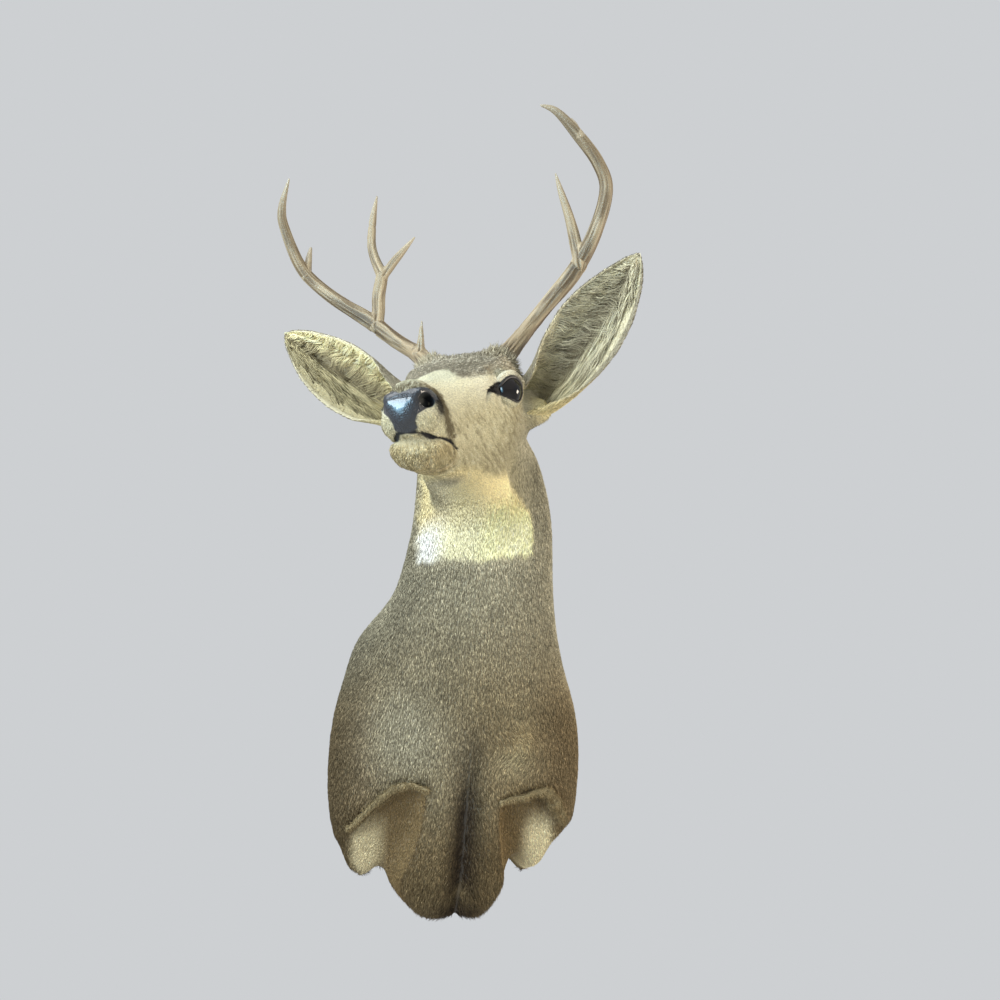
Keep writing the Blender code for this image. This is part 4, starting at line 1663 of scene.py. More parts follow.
    @staticmethod
    def pit(s: Spots, size: float = 1.0) -> Array:
        """1 in a nostril, falling to 0 at its rim or, for a larger size, beyond it.

        Args:
            s: The spots.
            size: 1 for the nostril itself, more to reach past its rim.

        Returns:
            Shares from 0 to 1.
        """
        offset = s.half - np.array(NOSTRIL)
        length = offset @ unit(np.array((0.28, 0.93, -0.10)))
        height = offset @ unit(np.array((0.0, 0.10, 0.99)))
        reach = np.hypot(length / 0.0112, height / 0.0074)
        near = (np.linalg.norm(offset, axis=1) < 0.026) & (s.out > 0.005)
        return smooth(1.05 * size, 0.55 * size, reach) * near

    @staticmethod
    def nose(s: Spots) -> Array:
        """1 on the bare pad: an hourglass, wide above the nostrils and narrow at the lip.

        Args:
            s: The spots.

        Returns:
            Shares from 0 to 1.
        """
        rim = np.interp(
            s.up,
            (-0.052, -0.045, -0.038, -0.030, -0.020, -0.008, 0.002),
            (0.012, 0.0115, 0.0150, 0.0260, 0.0300, 0.0290, 0.0230),
        )
        back = np.interp(
            s.up, (-0.050, -0.036, -0.028, -0.016, -0.010), (0.168, 0.166, 0.153, 0.150, 0.156)
        )
        pad = smooth(rim + 0.0012, rim - 0.0008, s.out) * smooth(back - 0.0014, back + 0.0010, s.forward)
        edge = -0.0112 - 0.0040 * hill(s.out, 0.0, 0.008) + 0.0006 * lattice_noise(s.points, 0.003, 7)
        return pad * smooth(-0.058, -0.055, s.up) * smooth(edge + 0.0006, edge - 0.0012, s.up)


MARKINGS = Markings()


# ---------------------------------------------------------------- hide


@dataclass(frozen=True)
class LegCut:
    """The flat cut that leaves a foreleg's open end, and the hem of hide round it."""

    side: Side
    place: tuple[float, float]
    slope: float
    outline: Table
    hem_rows: int  # how many of the outline's rows the hem follows

    def point(self, across: Array, down: Array, out: Array) -> Array:
        """Places on the cut: down its slope, and out along its walls.

        Args:
            across: Places along X.
            down: Metres down the slope.
            out: Metres out along the walls.

        Returns:
            The places in the mount's frame.
        """
        s, c = math.sin(self.slope), math.cos(self.slope)
        y = self.place[0] + down * c - out * s
        z = self.place[1] - down * s - out * c
        return np.stack(np.broadcast_arrays(across, y, z), -1)

    def block(self) -> tuple[Array, Array]:
        """The volume that is cut away: the outline carried out along the walls.

        Returns:
            Vertices and triangles.
        """
        across, down = np.array(self.outline).T
        rings = np.stack([self.point(across, down, np.full(len(across), o)) for o in (0.0, LEG_CUT_REACH)])
        return prism(rings)

    def hem(self, count: int = 70) -> Array:
        """The line where the cut's walls come out of the body's outline.

        From each place of the outline a wall runs out; the hem is where its reach in the
        body's sections passes 1.

        Args:
            count: How many places.

        Returns:
            Places on the line.
        """
        rows = np.array(self.outline[: self.hem_rows])
        line = sampled(rows, count)
        outs = np.linspace(0.0, 0.10, 60)
        grid = self.point(line[:, None, 0], line[:, None, 1], outs[None, :])
        _, _, reach = MARKINGS.body.locate(grid.reshape(-1, 3))
        reach = reach.reshape(count, -1)
        crossed = np.argmax(reach > 0.985, axis=1)
        return grid[np.arange(count), crossed]


def prism(rings: Array) -> tuple[Array, Array]:
    """A closed prism between two flat outlines, with its ends triangulated by Blender.

    Args:
        rings: The two outlines, point by point.

    Returns:
        Vertices and triangles.
    """
    count = rings.shape[1]
    turn = np.arange(count)
    after = (turn + 1) % count
    sides = np.stack((turn, after, after + count, turn + count), -1)
    mesh = bpy.data.meshes.new("prism")
    faces = [tuple(f) for f in sides] + [tuple(turn[::-1]), tuple(turn + count)]
    mesh.from_pydata([tuple(p) for p in rings.reshape(-1, 3)], [], faces)
    points, triangles = read_mesh(mesh)
    bpy.data.meshes.remove(mesh)
    return points, outward(points, triangles)


LEG_CUTS = (LegCut(Side.RIGHT, *RIGHT_LEG_CUT, 4), LegCut(Side.LEFT, *LEFT_LEG_CUT, 4))


def underside_block(outline: Table) -> tuple[Array, Array]:
    """What lies below the outline of a leg's end, an armpit and a side of the brisket.

    Args:
        outline: The outline, in X and Z.

    Returns:
        Vertices and triangles.
    """
    rows = sampled(outline, 3 * len(outline))
    rows = np.vstack((rows, (outline[-1][0], UNDERSIDE_BOTTOM), (outline[0][0], UNDERSIDE_BOTTOM)))
    rings = [np.stack((rows[:, 0], np.full(len(rows), y), rows[:, 1]), -1) for y in UNDERSIDE_DEPTH]
    return prism(np.array(rings))


def split(points: Array, triangles: Array, chosen: Array) -> tuple[Array, Array]:
    """Divides the chosen triangles in four, and their neighbours in two or three.

    Every edge of a chosen triangle gets a point in its middle. Each triangle is then rebuilt
    from the points on its edges, so that no gap opens.

    Args:
        points: Vertices.
        triangles: Triangles.
        chosen: True for each triangle to divide in four.

    Returns:
        The new vertices and triangles.
    """
    unique, inverse = np.unique(edge_keys(triangles), return_inverse=True)
    inverse = inverse.reshape(-1, 3)
    cut = np.zeros(len(unique), bool)
    cut[inverse[chosen].ravel()] = True
    number = np.cumsum(cut) - 1 + len(points)
    points = np.concatenate((points, points[key_ends(unique[cut])].mean(axis=1)))
    is_cut = cut[inverse]
    count = is_cut.sum(axis=1)
    mids = number[inverse]
    made = [triangles[count == 0]]
    t, m = triangles[count == 3], mids[count == 3]
    made += [
        np.stack((t[:, 0], m[:, 0], m[:, 2]), -1),
        np.stack((m[:, 0], t[:, 1], m[:, 1]), -1),
        np.stack((m[:, 2], m[:, 1], t[:, 2]), -1),
        m,
    ]
    for first in range(3):
        order = [(first + k) % 3 for k in range(3)]
        one = (count == 1) & is_cut[:, first]
        t, m = triangles[one][:, order], mids[one][:, order]
        made += [np.stack((t[:, 0], m[:, 0], t[:, 2]), -1), np.stack((m[:, 0], t[:, 1], t[:, 2]), -1)]
        two = (count == 2) & ~is_cut[:, first]
        t, m = triangles[two][:, order], mids[two][:, order]
        made += [
            np.stack((t[:, 2], m[:, 2], m[:, 1]), -1),
            np.stack((t[:, 0], t[:, 1], m[:, 1]), -1),
            np.stack((t[:, 0], m[:, 1], m[:, 2]), -1),
        ]
    return points, np.concatenate(made)


def normals_of(points: Array, triangles: Array) -> Array:
    """Vertex normals: the sum of each vertex's triangles' normals, at length 1.

    Args:
        points: The vertices.
        triangles: Three vertex numbers for each triangle.

    Returns:
        A unit vector for each vertex.
    """
    a, b, c = corners_of(points, triangles)
    faces = np.cross(b - a, c - a)
    total = np.zeros_like(points)
    for corner in range(3):
        for axis in range(3):
            total[:, axis] += np.bincount(triangles[:, corner], faces[:, axis], len(points))
    return unit(total)


def fill_creases(points: Array, triangles: Array, share: Array, times: int) -> Array:
    """Raises hollows towards the middle of their neighbours, and leaves ridges alone.

    Args:
        points: Vertices.
        triangles: Triangles.
        share: How far each vertex may go, from 0 to 1.
        times: How often.

    Returns:
        The moved vertices.
    """
    edges = edges_of(triangles)
    for _ in range(times):
        normals = normals_of(points, triangles)
        rise = ((relax(points, edges, share, 1) - points) * normals).sum(axis=1)
        points = points + normals * np.maximum(rise, 0)[:, None]
    return points


@dataclass(frozen=True)
class Relief:
    """The face's and body's forms, as pushes along the skin's normals, in metres."""

    pads: Pads = (
        ((0.058, 0.016, 0.040), (0.016, 0.026, 0.014), 0.0040),  # brow behind the eye
        ((0.052, -0.020, 0.026), (0.014, 0.018, 0.010), 0.0030),  # brow before the eye
        ((0.062, -0.004, -0.030), (0.014, 0.034, 0.012), 0.0022),  # cheekbone
        ((0.040, -0.085, -0.018), (0.014, 0.040, 0.016), -0.0024),  # hollow of the muzzle
        ((0.030, -0.150, -0.040), (0.012, 0.020, 0.012), 0.0026),  # whisker pad
        ((0.000, -0.030, 0.052), (0.014, 0.040, 0.014), -0.0020),  # dip of the forehead
        ((0.000, -0.145, -0.078), (0.018, 0.018, 0.014), 0.0020),  # chin
        ((0.024, -0.140, -0.068), (0.010, 0.022, 0.016), 0.0030),  # side of the chin
        ((0.022, -0.128, -0.0520), (0.010, 0.020, 0.005), 0.0016),  # upper lip
        ((0.022, -0.126, -0.0680), (0.010, 0.022, 0.005), 0.0014),  # lower lip
        ((0.044, 0.053, 0.050), (0.017, 0.018, 0.020), 0.0070),  # root of an antler
    )
    right_pads: Pads = (
        ((-0.021, -0.167, -0.005), (0.011, 0.017, 0.010), -0.0105),  # the nose's upper corner
        ((-0.024, -0.142, -0.066), (0.010, 0.022, 0.017), 0.0050),  # fuller chin and lip
        ((-0.028, -0.152, -0.046), (0.008, 0.012, 0.008), 0.0030),
    )

    def head(self, points: Array, normals: Array) -> Array:
        """Moves the head's skin.

        Soft pads are bells in space. The mouth, the chin's crease and the tear duct are
        grooves that fall off with distance from a path. The nostril is a deep oval pit.

        Args:
            points: Vertices in the mount's frame.
            normals: Their normals.

        Returns:
            The moved vertices.
        """
        s = Spots(points, normals)
        push = np.zeros(len(points))
        for centre, radii, height in self.pads:
            push += height * knoll(s.half, centre, radii)
        for centre, radii, height in self.right_pads:
            push += height * knoll(s.head, centre, radii)
        mouth, where = path_distance(s.half, MOUTH_LINE, 20)
        push -= 0.0034 * hill(mouth, 0, 0.0017) * smooth(1.0, 0.93, where)
        for path, rows, depth, width in (
            (CHIN_CREASE, 12, 0.0024, 0.0030),
            (MOUTH_CORNER, 8, 0.0024, 0.0022),
            (TEAR_DUCT, 8, 0.0030, 0.0020),
        ):
            push -= depth * hill(path_distance(s.half, path, rows)[0], 0, width)
        moved = points + normals * push[:, None]
        return self.nostrils(moved, Spots(moved, normals))

    @staticmethod
    def nostrils(points: Array, s: Spots) -> Array:
        """Sinks each nostril back and inwards, with a low rim round it.

        Args:
            points: The vertices.
            s: The vertices' spots.

        Returns:
            The moved vertices.
        """
        offset = s.half - np.array(NOSTRIL)
        reach = np.linalg.norm(offset * (1, 0.75, 1.25), axis=1)
        rim = hill(reach, 0.0135, 0.0035) * (s.out > 0.006) * smooth(-0.01, 0.004, offset[:, 2])
        inwards = np.stack((-0.62 * np.sign(s.left), 0 * s.left + 0.78, 0 * s.left - 0.05), -1)
        way = POSE.way_to_world(inwards)
        return points + way * (0.0110 * Markings.pit(s))[:, None] + s.normals * (0.0012 * rim)[:, None]

    @staticmethod
    def eyelids(points: Array, s: Spots) -> Array:
        """Shapes the lids about the eyeball.

        Distance from the eyeball's centre is set by how far outside the opening a direction
        is: below the glass inside it, just proud of the glass at the lid's edge, a roll above
        it, a shallow fold, and then the skin as it was.

        Args:
            points: The vertices.
            s: The vertices' spots.

        Returns:
            The moved vertices.
        """
        turn, angle, distance = s.eye_polar()
        outside = -OPENING.inside(turn, angle)
        upper = smooth(-0.2, 0.35, np.sin(turn))
        sunk = EYE_RADIUS - 0.0050
        edge = EYE_RADIUS + 0.0014
        roll = edge + (0.0010 + 0.0044 * upper) * hill(outside, 0.24, 0.17)
        fold = roll - 0.0012 * upper * hill(outside, 0.46, 0.09)
        target = np.where(outside < 0, sunk, fold)
        target = target + (sunk - target) * smooth(0.05, -0.02, outside)
        reach = smooth(0.85, 0.35, outside) * smooth(0.046, 0.034, distance)
        centre = np.array(EYE_CENTRE)
        scale = 1 + reach * (target / np.maximum(distance, 1e-6) - 1)
        moved = centre + (s.half - centre) * scale[:, None]
        moved[:, 0] *= np.where(s.left < 0, -1, 1)
        return np.where((reach > 0)[:, None], POSE.to_world(moved), points)

    @staticmethod
    def body(points: Array, normals: Array) -> Array:
        """The chest's two rounded sides, the groove between them and the shoulders.

        Args:
            points: The vertices.
            normals: The directions the surface faces at the vertices.

        Returns:
            The moved vertices.
        """
        s = Spots(points, normals)
        front = smooth(-0.05, -0.10, s.y) * smooth(0.25, 0.0, s.z)
        deep = smooth(-0.03, -0.13, s.z)
        groove = hill(s.x, 0, 0.011) * deep * front
        bulge = (hill(s.x, 0.030, 0.019) + hill(s.x, -0.031, 0.020)) * smooth(-0.05, -0.14, s.z)
        bulge = bulge * front
        low = 0.5 + 0.5 * smooth(0.5, -0.5, normals[:, 2])
        push = -0.013 * groove + 0.0042 * bulge * low
        shoulder = knoll(points, (0.0, -0.14, 0.02), (0.30, 0.10, 0.09))
        shoulder = shoulder * smooth(0.09, 0.15, np.abs(s.x))
        right = knoll(points, (-0.140, -0.125, 0.125), (0.045, 0.08, 0.048))
        push += 0.003 * shoulder + 0.010 * right
        folds = 0.0012 * lattice_noise(points, (0.05, 0.05, 0.09), 11) * smooth(0.40, 0.2, s.z)
        return points + normals * (push + folds)[:, None]


@dataclass
class Hide:
    """The one skin under the coat, from the board to the nose."""

    voxel: float = 0.0046
    body: BodyForm = BodyForm()
    head: HeadForm = HeadForm()

    def __post_init__(self) -> None:
        """Fuses the lofts, refines the face and pushes in its relief."""
        points, triangles = self.fuse()
        points, triangles = self.refine(points, triangles)
        self.points = points
        self.triangles = triangles
        self.normals = normals_of(points, triangles)
        self.spots = Spots(points, self.normals)

    def cut_body(self) -> tuple[Array, Array]:
        """The body's loft less the leg cuts and what lies below its underside.

        Returns:
            Vertices and triangles.
        """
        body = new_object("body form", new_mesh("body form", *self.body.loft()))
        blocks = [cut.block() for cut in LEG_CUTS]
        blocks += [underside_block(RIGHT_UNDERSIDE), underside_block(LEFT_UNDERSIDE)]
        cutters = []
        for points, triangles in blocks:
            cutters.append(new_object("cutter", new_mesh("cutter", points, triangles)))
            boolean = body.modifiers.new("cut", "BOOLEAN")
            boolean.operation = "DIFFERENCE"
            boolean.solver = "EXACT"
            boolean.object = cutters[-1]
        arrays = evaluated(body)
        for cutter in cutters:
            bpy.data.objects.remove(cutter, do_unlink=True)
        return arrays

    @staticmethod
    def ear_root(side: Side) -> tuple[Array, Array]:
        """A short bulb under an ear, so that it grows out of the head.

        Args:
            side: The deer's left or right.

        Returns:
            Vertices and triangles.
        """
        rows = sampled(EAR_ROOT, 16)
        angle = full_turn(24)
        circle = np.stack((0 * angle, np.cos(angle), np.sin(angle)), -1)
        rings = rows[:, None, :3] + rows[:, 3][:, None, None] * circle
        rings[:, :, 0] *= side.value
        return head_loft(rings)

    def fuse(self) -> tuple[Array, Array]:
        """One voxel skin round all the forms, relaxed until its steps are gone.

        Returns:
            Vertices and triangles.
        """
        shapes = [self.cut_body(), *self.head.shapes(), head_tube(THROAT, 30, 32, (THROAT_WIDTH, 1, 1))]
        shapes += [head_tube(EAR_LOBE, 16, 24, (side.value, 1, 1)) for side in Side]
        shapes += [self.ear_root(side) for side in Side]
        points, triangles = fused("hide", shapes, self.voxel)
        edges = edges_of(triangles)
        points = relax(points, edges, 0.5, 6)
        s = Spots(points, normals_of(points, triangles))
        throat = smooth(0.0, -0.04, s.up) * smooth(0.10, 0.06, s.forward)
        nape = smooth(-0.06, -0.09, s.forward) * smooth(0.07, 0.04, s.up)
        throat = np.maximum(throat, 0.9 * nape) * smooth(0.08, 0.12, s.z)
        points = fill_creases(points, triangles, 0.95 * throat, 150)
        points = relax(points, edges, 0.6 * throat, 6)
        under = smooth(-0.05, -0.075, points[:, 2]) * smooth(0.03, 0.05, np.abs(points[:, 0]))
        points = relax(points, edges, 0.8 * under, 5)
        points = Relief.body(points, normals_of(points, triangles))
        return relax(points, edges, 0.4, 2), triangles

    def refine(self, points: Array, triangles: Array) -> tuple[Array, Array]:
        """Divides the head's triangles once and the face's details twice, then shapes them.

        Args:
            points: The vertices.
            triangles: Three vertex numbers for each triangle.

        Returns:
            Vertices and triangles.
        """
        relief = Relief()
        for level in range(3):
            middle = points[triangles].mean(axis=1)
            s = Spots(middle)
            head = smooth(-0.10, -0.06, s.forward) * smooth(-0.13, -0.12, s.up) > 0.5
            _, _, distance = s.eye_polar()
            eye = distance < 0.038
            nose = (s.forward > 0.140) & (s.up < 0.02)
            mouth = path_distance(s.half, MOUTH_LINE, 12)[0] < 0.008
            if level == 0:
                chosen = head
            elif level == 1:
                chosen = eye | nose | mouth
            else:
                nostril = np.linalg.norm(s.half - np.array(NOSTRIL), axis=1) < 0.015
                turn, angle, _ = s.eye_polar()
                chosen = ((np.abs(OPENING.inside(turn, angle)) < 0.26) & (distance < 0.034)) | nostril
            points, triangles = split(points, triangles, chosen)
            LOG.info("hide refined to %d triangles", len(triangles))
            if level < 2:
                s = Spots(points)
                share = 0.5 * smooth(-0.12, -0.08, s.forward)
                points = relax(points, edges_of(triangles), share, 2)
        points = relief.head(points, normals_of(points, triangles))
        points = relief.eyelids(points, Spots(points, normals_of(points, triangles)))
        s = Spots(points)
        face = smooth(-0.10, -0.06, s.forward)
        return relax(points, edges_of(triangles), 0.35 * face, 1), triangles

    def build(self) -> bpy.types.Object:
        """The skin as a piece, painted with the same markings as its coat.

        Returns:
            The piece.
        """
        mesh = new_mesh("hide", self.points, self.triangles)
        paint(mesh, "tint", MARKINGS.colours(self.spots))
        pit = Markings.pit(self.spots, 1.6)
        weigh(mesh, "bare", Markings.nose(self.spots) * (1 - 0.85 * pit))
        piece = new_piece("hide", mesh, HideFinish().material())
        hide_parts("trunk", "foreleg_left", "foreleg_right", "neck", "head", "lower_jaw", "nose_pad")
        return piece


@dataclass(frozen=True)
class HideFinish:
    """Short hair seen as bump on tanned skin, and the wet, pebbled nose."""

    roughness: float = 0.78

    def material(self) -> bpy.types.Material:
        """Painted colour, darkened as painted shade between the tufts, with fine streaks; the bare pad is
        black, tinted blue as painted sheen, bumpy and glossy.

        Returns:
            The material.
        """
        g = Graph("short_hair_and_nose", self.roughness, Specular_IOR_Level=0.35)
        place = g.place()
        bare = g.attribute("bare")
        speck = g.noise(0.0012, 3.0, place)
        blotch = g.noise(0.012, 2.0, place)
        tint = g.attribute("tint", "Color")
        # Painted shade: the skin is darkened to about 0.7 of its markings, for the shade between the tufts.
        hair = g.scaled(tint, 0.42 + speck * 0.48 + blotch * 0.10)
        sheen = g.noise(0.006, 2.0, place)
        # Painted sheen: the pad's black is tinted blue in patches, for the nose's bluish sheen.
        pad = g.mixed(sheen, (0.008, 0.010, 0.013, 1), (0.020, 0.026, 0.034, 1))
        g.feed("Base Color", g.mixed(bare, hair, pad))
        g.feed("Roughness", 0.78 - bare * (0.54 - sheen * 0.20))
        g.feed("Coat Weight", bare * 0.8)
        pebble = g.wire(g.node("TexVoronoi", {"feature": "F1"}, Vector=place, Scale=520.0), "Distance")
        height = (1 - bare) * speck * 0.5 + bare * (1 - pebble)
        g.bump(height, 0.0010, 0.8)
        return g.material


# ---------------------------------------------------------------- eyes and lids


@dataclass(frozen=True)
class GlassEye:
    """A glass eye: dark brown, with an oblong pupil under a clear coat."""

    side: Side
    around: int = 64
    rings: int = 40

    def build(self) -> bpy.types.Object:
        """A sphere: rings of latitude about the eye's axis, with a low bulge of cornea.

        Returns:
            The piece.
        """
        axis, front, over = eye_axes()
        lat = np.linspace(0.03, math.pi - 0.03, self.rings)[:, None]
        turn = full_turn(self.around)[None, :]
        way = (
            np.cos(lat)[:, :, None] * axis
            + (np.sin(lat) * np.cos(turn))[:, :, None] * front
            + (np.sin(lat) * np.sin(turn))[:, :, None] * over
        )
        radius = EYE_RADIUS + 0.0010 * np.exp(-((lat / 0.55) ** 2))
        rings = np.array(EYE_CENTRE) + way * radius[:, :, None]
        rings[:, :, 0] *= self.side.value
        points = POSE.to_world(tube_points(rings))
        triangles = triangles_of(tube_faces(self.rings, self.around))
        mesh = new_mesh("glass_eye", points, outward(points, triangles))
        angle_a = np.arctan2(way @ front, way @ axis)
        angle_b = np.arctan2(way @ over, way @ axis)
        pupil = 1 - smooth(0.75, 1.0, np.hypot(angle_a / 0.40, angle_b / 0.24))
        iris = 1 - smooth(0.9, 1.05, np.hypot(angle_a, angle_b) / 0.95)
        for layer, values in (("pupil", pupil), ("iris", iris)):
            weigh(mesh, layer, np.concatenate((values.ravel(), values[0, :1], values[-1, :1])))
        name = "eye_" + self.side.word
        piece = new_piece("glass_" + name, mesh, EyeFinish(name).material())
        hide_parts(name)
        return piece


@dataclass(frozen=True)
class EyeFinish:
    """Dark glass with a faint brown iris."""

    name: str

    def material(self) -> bpy.types.Material:
        """Black pupil in a very dark brown iris with flecks, under a clear coat.

        Returns:
            The material.
        """
        g = Graph(self.name, 0.12, Coat_Weight=0.35, Coat_Roughness=0.02, Specular_IOR_Level=0.25)
        fleck = g.noise(0.0016, 3.0)
        iris = g.mixed(fleck, (0.0035, 0.0026, 0.0024, 1), (0.009, 0.006, 0.0045, 1))
        ball = g.mixed(g.attribute("iris"), (0.006, 0.005, 0.005, 1), iris)
        g.feed("Base Color", g.mixed(g.attribute("pupil"), ball, (0.001, 0.001, 0.002, 1)))
        g.feed("Roughness", 0.06 + fleck * 0.03)
        return g.material


def circles(a: Array, b: Array, around: int) -> Array:
    """Unit circles from a round through b, one for each row."""
    turn = full_turn(around)
    return np.cos(turn)[None, :, None] * a[:, None, :] + np.sin(turn)[None, :, None] * b[:, None, :]


def swept_tube(line: Array, radius: Array, around: int) -> tuple[Array, Array]:
    """A round tube along a line: each ring is a circle across the line's own direction.

    Args:
        line: Places along the middle.
        radius: The radius at each place.
        around: Points in each ring.

    Returns:
        Its vertices and triangles.
    """
    path = unit(np.gradient(line, axis=0))
    guide = np.array((0.13, 0.27, 0.95))
    side = np.cross(path, guide)
    flat = np.linalg.norm(side, axis=1) < 0.2
    side[flat] = np.cross(path[flat], np.array((0.95, 0.1, 0.2)))
    side = unit(side)
    circle = circles(side, np.cross(path, side), around)
    points = tube_points(line[:, None, :] + radius[:, None, None] * circle)
    return points, turned_out(points, tube_faces(len(line), around))


def head_tube(
    table: Table, rows: int, around: int, scale: Sequence[float] = (1, 1, 1)
) -> tuple[Array, Array]:
    """A tapering tube through a table's points and radii, which are in the head's frame.

    Args:
        table: Points and radii.
        rows: Rings along the tube.
        around: Points round each ring.
        scale: What the points are multiplied by, along each axis.

    Returns:
        Vertices and triangles.
    """
    line = sampled(table, rows)
    points, triangles = swept_tube(line[:, :3], np.maximum(line[:, 3], LEAST_RADIUS), around)
    return POSE.to_world(points * scale), triangles


@dataclass(frozen=True)
class LidRim:
    """The black edges of the lids that lie on the glass."""

    side: Side
    count: int = 160
    around: int = 10
    lift: float = 0.0006  # off the glass

    def line(self) -> tuple[Array, Array]:
        """The almond once round, just off the glass, and the turn of each place.

        Returns:
            The places and their turns.
        """
        axis, front, over = eye_axes()
        turn = np.linspace(-math.pi, math.pi, self.count, endpoint=False)
        angle = OPENING.edge(turn)
        round_it = np.cos(turn)[:, None] * front + np.sin(turn)[:, None] * over
        way = np.cos(angle)[:, None] * axis + np.sin(angle)[:, None] * round_it
        points = np.array(EYE_CENTRE) + (EYE_RADIUS + self.lift) * way
        points[:, 0] *= self.side.value
        return points, turn

    def build(self) -> bpy.types.Object:
        """A closed ring of tube round the opening, thicker above.

        Returns:
            The piece.
        """
        line, turned = self.line()
        # Thicker above: the black rim is the lid's edge and lashes, and partly stands in for the lashes'
        # shadow as a painted shadow.
        radius = 0.0009 + 0.0011 * smooth(-0.2, 0.5, np.sin(turned))
        path = unit(np.roll(line, -1, axis=0) - np.roll(line, 1, axis=0))
        centre = np.array(EYE_CENTRE) * (self.side.value, 1, 1)
        away = unit(line - centre)
        rings = line[:, None, :] + radius[:, None, None] * circles(away, np.cross(path, away), self.around)
        ring, point = np.meshgrid(np.arange(self.count), np.arange(self.around), indexing="ij")
        low, high = ring * self.around, (ring + 1) % self.count * self.around
        after = (point + 1) % self.around
        quads = np.stack((low + point, low + after, high + after, high + point), -1).reshape(-1, 4)
        points = POSE.to_world(rings.reshape(-1, 3))
        mesh = new_mesh("lid_rim", points, outward(points, triangles_of([quads])))
        piece = new_piece("lid_rim_" + self.side.word, mesh, RimFinish(self.side.word).material())
        return piece


@dataclass(frozen=True)
class RimFinish:
    """Moist black skin."""

    name: str

    def material(self) -> bpy.types.Material:
        """Near black with a little brown, slightly glossy and finely wrinkled.

        Returns:
            The material.
        """
        g = Graph("lid_edge_" + self.name, 0.35, Specular_IOR_Level=0.5)
        wrinkle = g.noise(0.0010, 3.0)
        g.feed("Base Color", g.mixed(wrinkle, (0.006, 0.005, 0.005, 1), (0.020, 0.015, 0.012, 1)))
        g.feed("Roughness", 0.30 + wrinkle * 0.25)
        g.bump(wrinkle, 0.0003, 0.6)
        return g.material


# ---------------------------------------------------------------- ears


@dataclass
class Ear:
    """One ear's shell, painted inside and out."""

    form: EarForm

    def __post_init__(self) -> None:
        """Works out the shell and its markings."""
        self.points, self.triangles = self.form.shell()
        self.normals = normals_of(self.points, self.triangles)
        grid_u, grid_t = self.form.grid()
        self.u = np.append(grid_u, (0.0, EAR_END))
        self.v = np.append(np.cos(grid_t), (0.0, 0.0))
        self.inner = np.append(np.sin(grid_t) > 0, (False, False)).astype(float)

    def tint(self, u: Array, v: Array, inner: Array) -> Array:
        """The ear's colours: grey-brown back, pale cup with a dark core, bright rims.

        Args:
            u: From 0 at the root to 1 at the tip.
            v: From -1 to 1 across.
            inner: 1 inside the cup, 0 on the back.

        Returns:
            Red, green and blue for each place.
        """
        t = TONES
        head_side = v * self.form.side.value
        count = len(u)
        noise = lattice_noise(np.stack((u * 3, v * 14, inner), -1), 1.0, 21)
        back = np.broadcast_to(t.ear_back, (count, 3))
        back = blend(back, t.ear_lobe, 0.9 * smooth(0.42, 0.12, u) * smooth(0.1, 0.6, -head_side))
        cup = np.broadcast_to(t.ear_pale, (count, 3))
        core = hill(v, 0.05 + 0.08 * noise, 0.26) * smooth(0.10, 0.25, u) * (1 - 0.5 * smooth(0.6, 0.95, u))
        if self.form.side is Side.RIGHT:
            # Painted light: the cup is lighter on the head's side and darker on the other, as the light
            # falls.
            cup = cup * (1 + 0.50 * head_side)[:, None] * (1.0, 0.95, 0.80)
        cup = blend(cup, t.ear_core, 0.90 * core)
        # Painted shade: the hole at the ear's root is darkened towards the dark strip tone.
        hole_shade = hill(v, 0.0, 0.5) * hill(u, 0.10, 0.06)
        cup = blend(cup, t.strip, 0.85 * hole_shade)
        cup = blend(cup, t.ear_lobe, smooth(0.22, 0.10, u) * smooth(0.35, 0.7, np.abs(v)))
        rim = smooth(0.86, 0.98, np.abs(v)) * smooth(0.15, 0.3, u)
        cup = blend(cup, t.ear_pale, rim)
        rolled = smooth(0.80, 0.90, -head_side) * (1.0 if self.form.side is Side.LEFT else 0.25)
        cup = blend(cup, t.ear_back, 0.85 * rolled * smooth(0.2, 0.35, u))
        return blend(back, cup, inner)

    def build(self) -> bpy.types.Object:
        """The shell as a piece.

        Returns:
            The piece.
        """
        mesh = new_mesh("ear", self.points, self.triangles)
        paint(mesh, "tint", self.tint(self.u, self.v, self.inner))
        name = "ear_" + self.form.side.word
        piece = new_piece("shell_" + name, mesh, EarFinish(name).material())
        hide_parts(name)
        return piece


@dataclass(frozen=True)
class EarFinish:
    """Thin skin under short hair."""

    name: str

    def material(self) -> bpy.types.Material:
        """Painted colour, darker on average as painted shade under the hair, broken up by fine specks.

        Returns:
            The material.
        """
        g = Graph("ear_skin_" + self.name, 0.8, Specular_IOR_Level=0.3)
        speck = g.noise(0.0012, 3.0)
        # Painted shade: the colour is scaled to about 0.85 on average, for the shade under the short hair.
        g.feed("Base Color", g.scaled(g.attribute("tint", "Color"), 0.60 + speck * 0.5))
        g.bump(speck, 0.0006, 0.6)
        return g.material


# ---------------------------------------------------------------- antlers


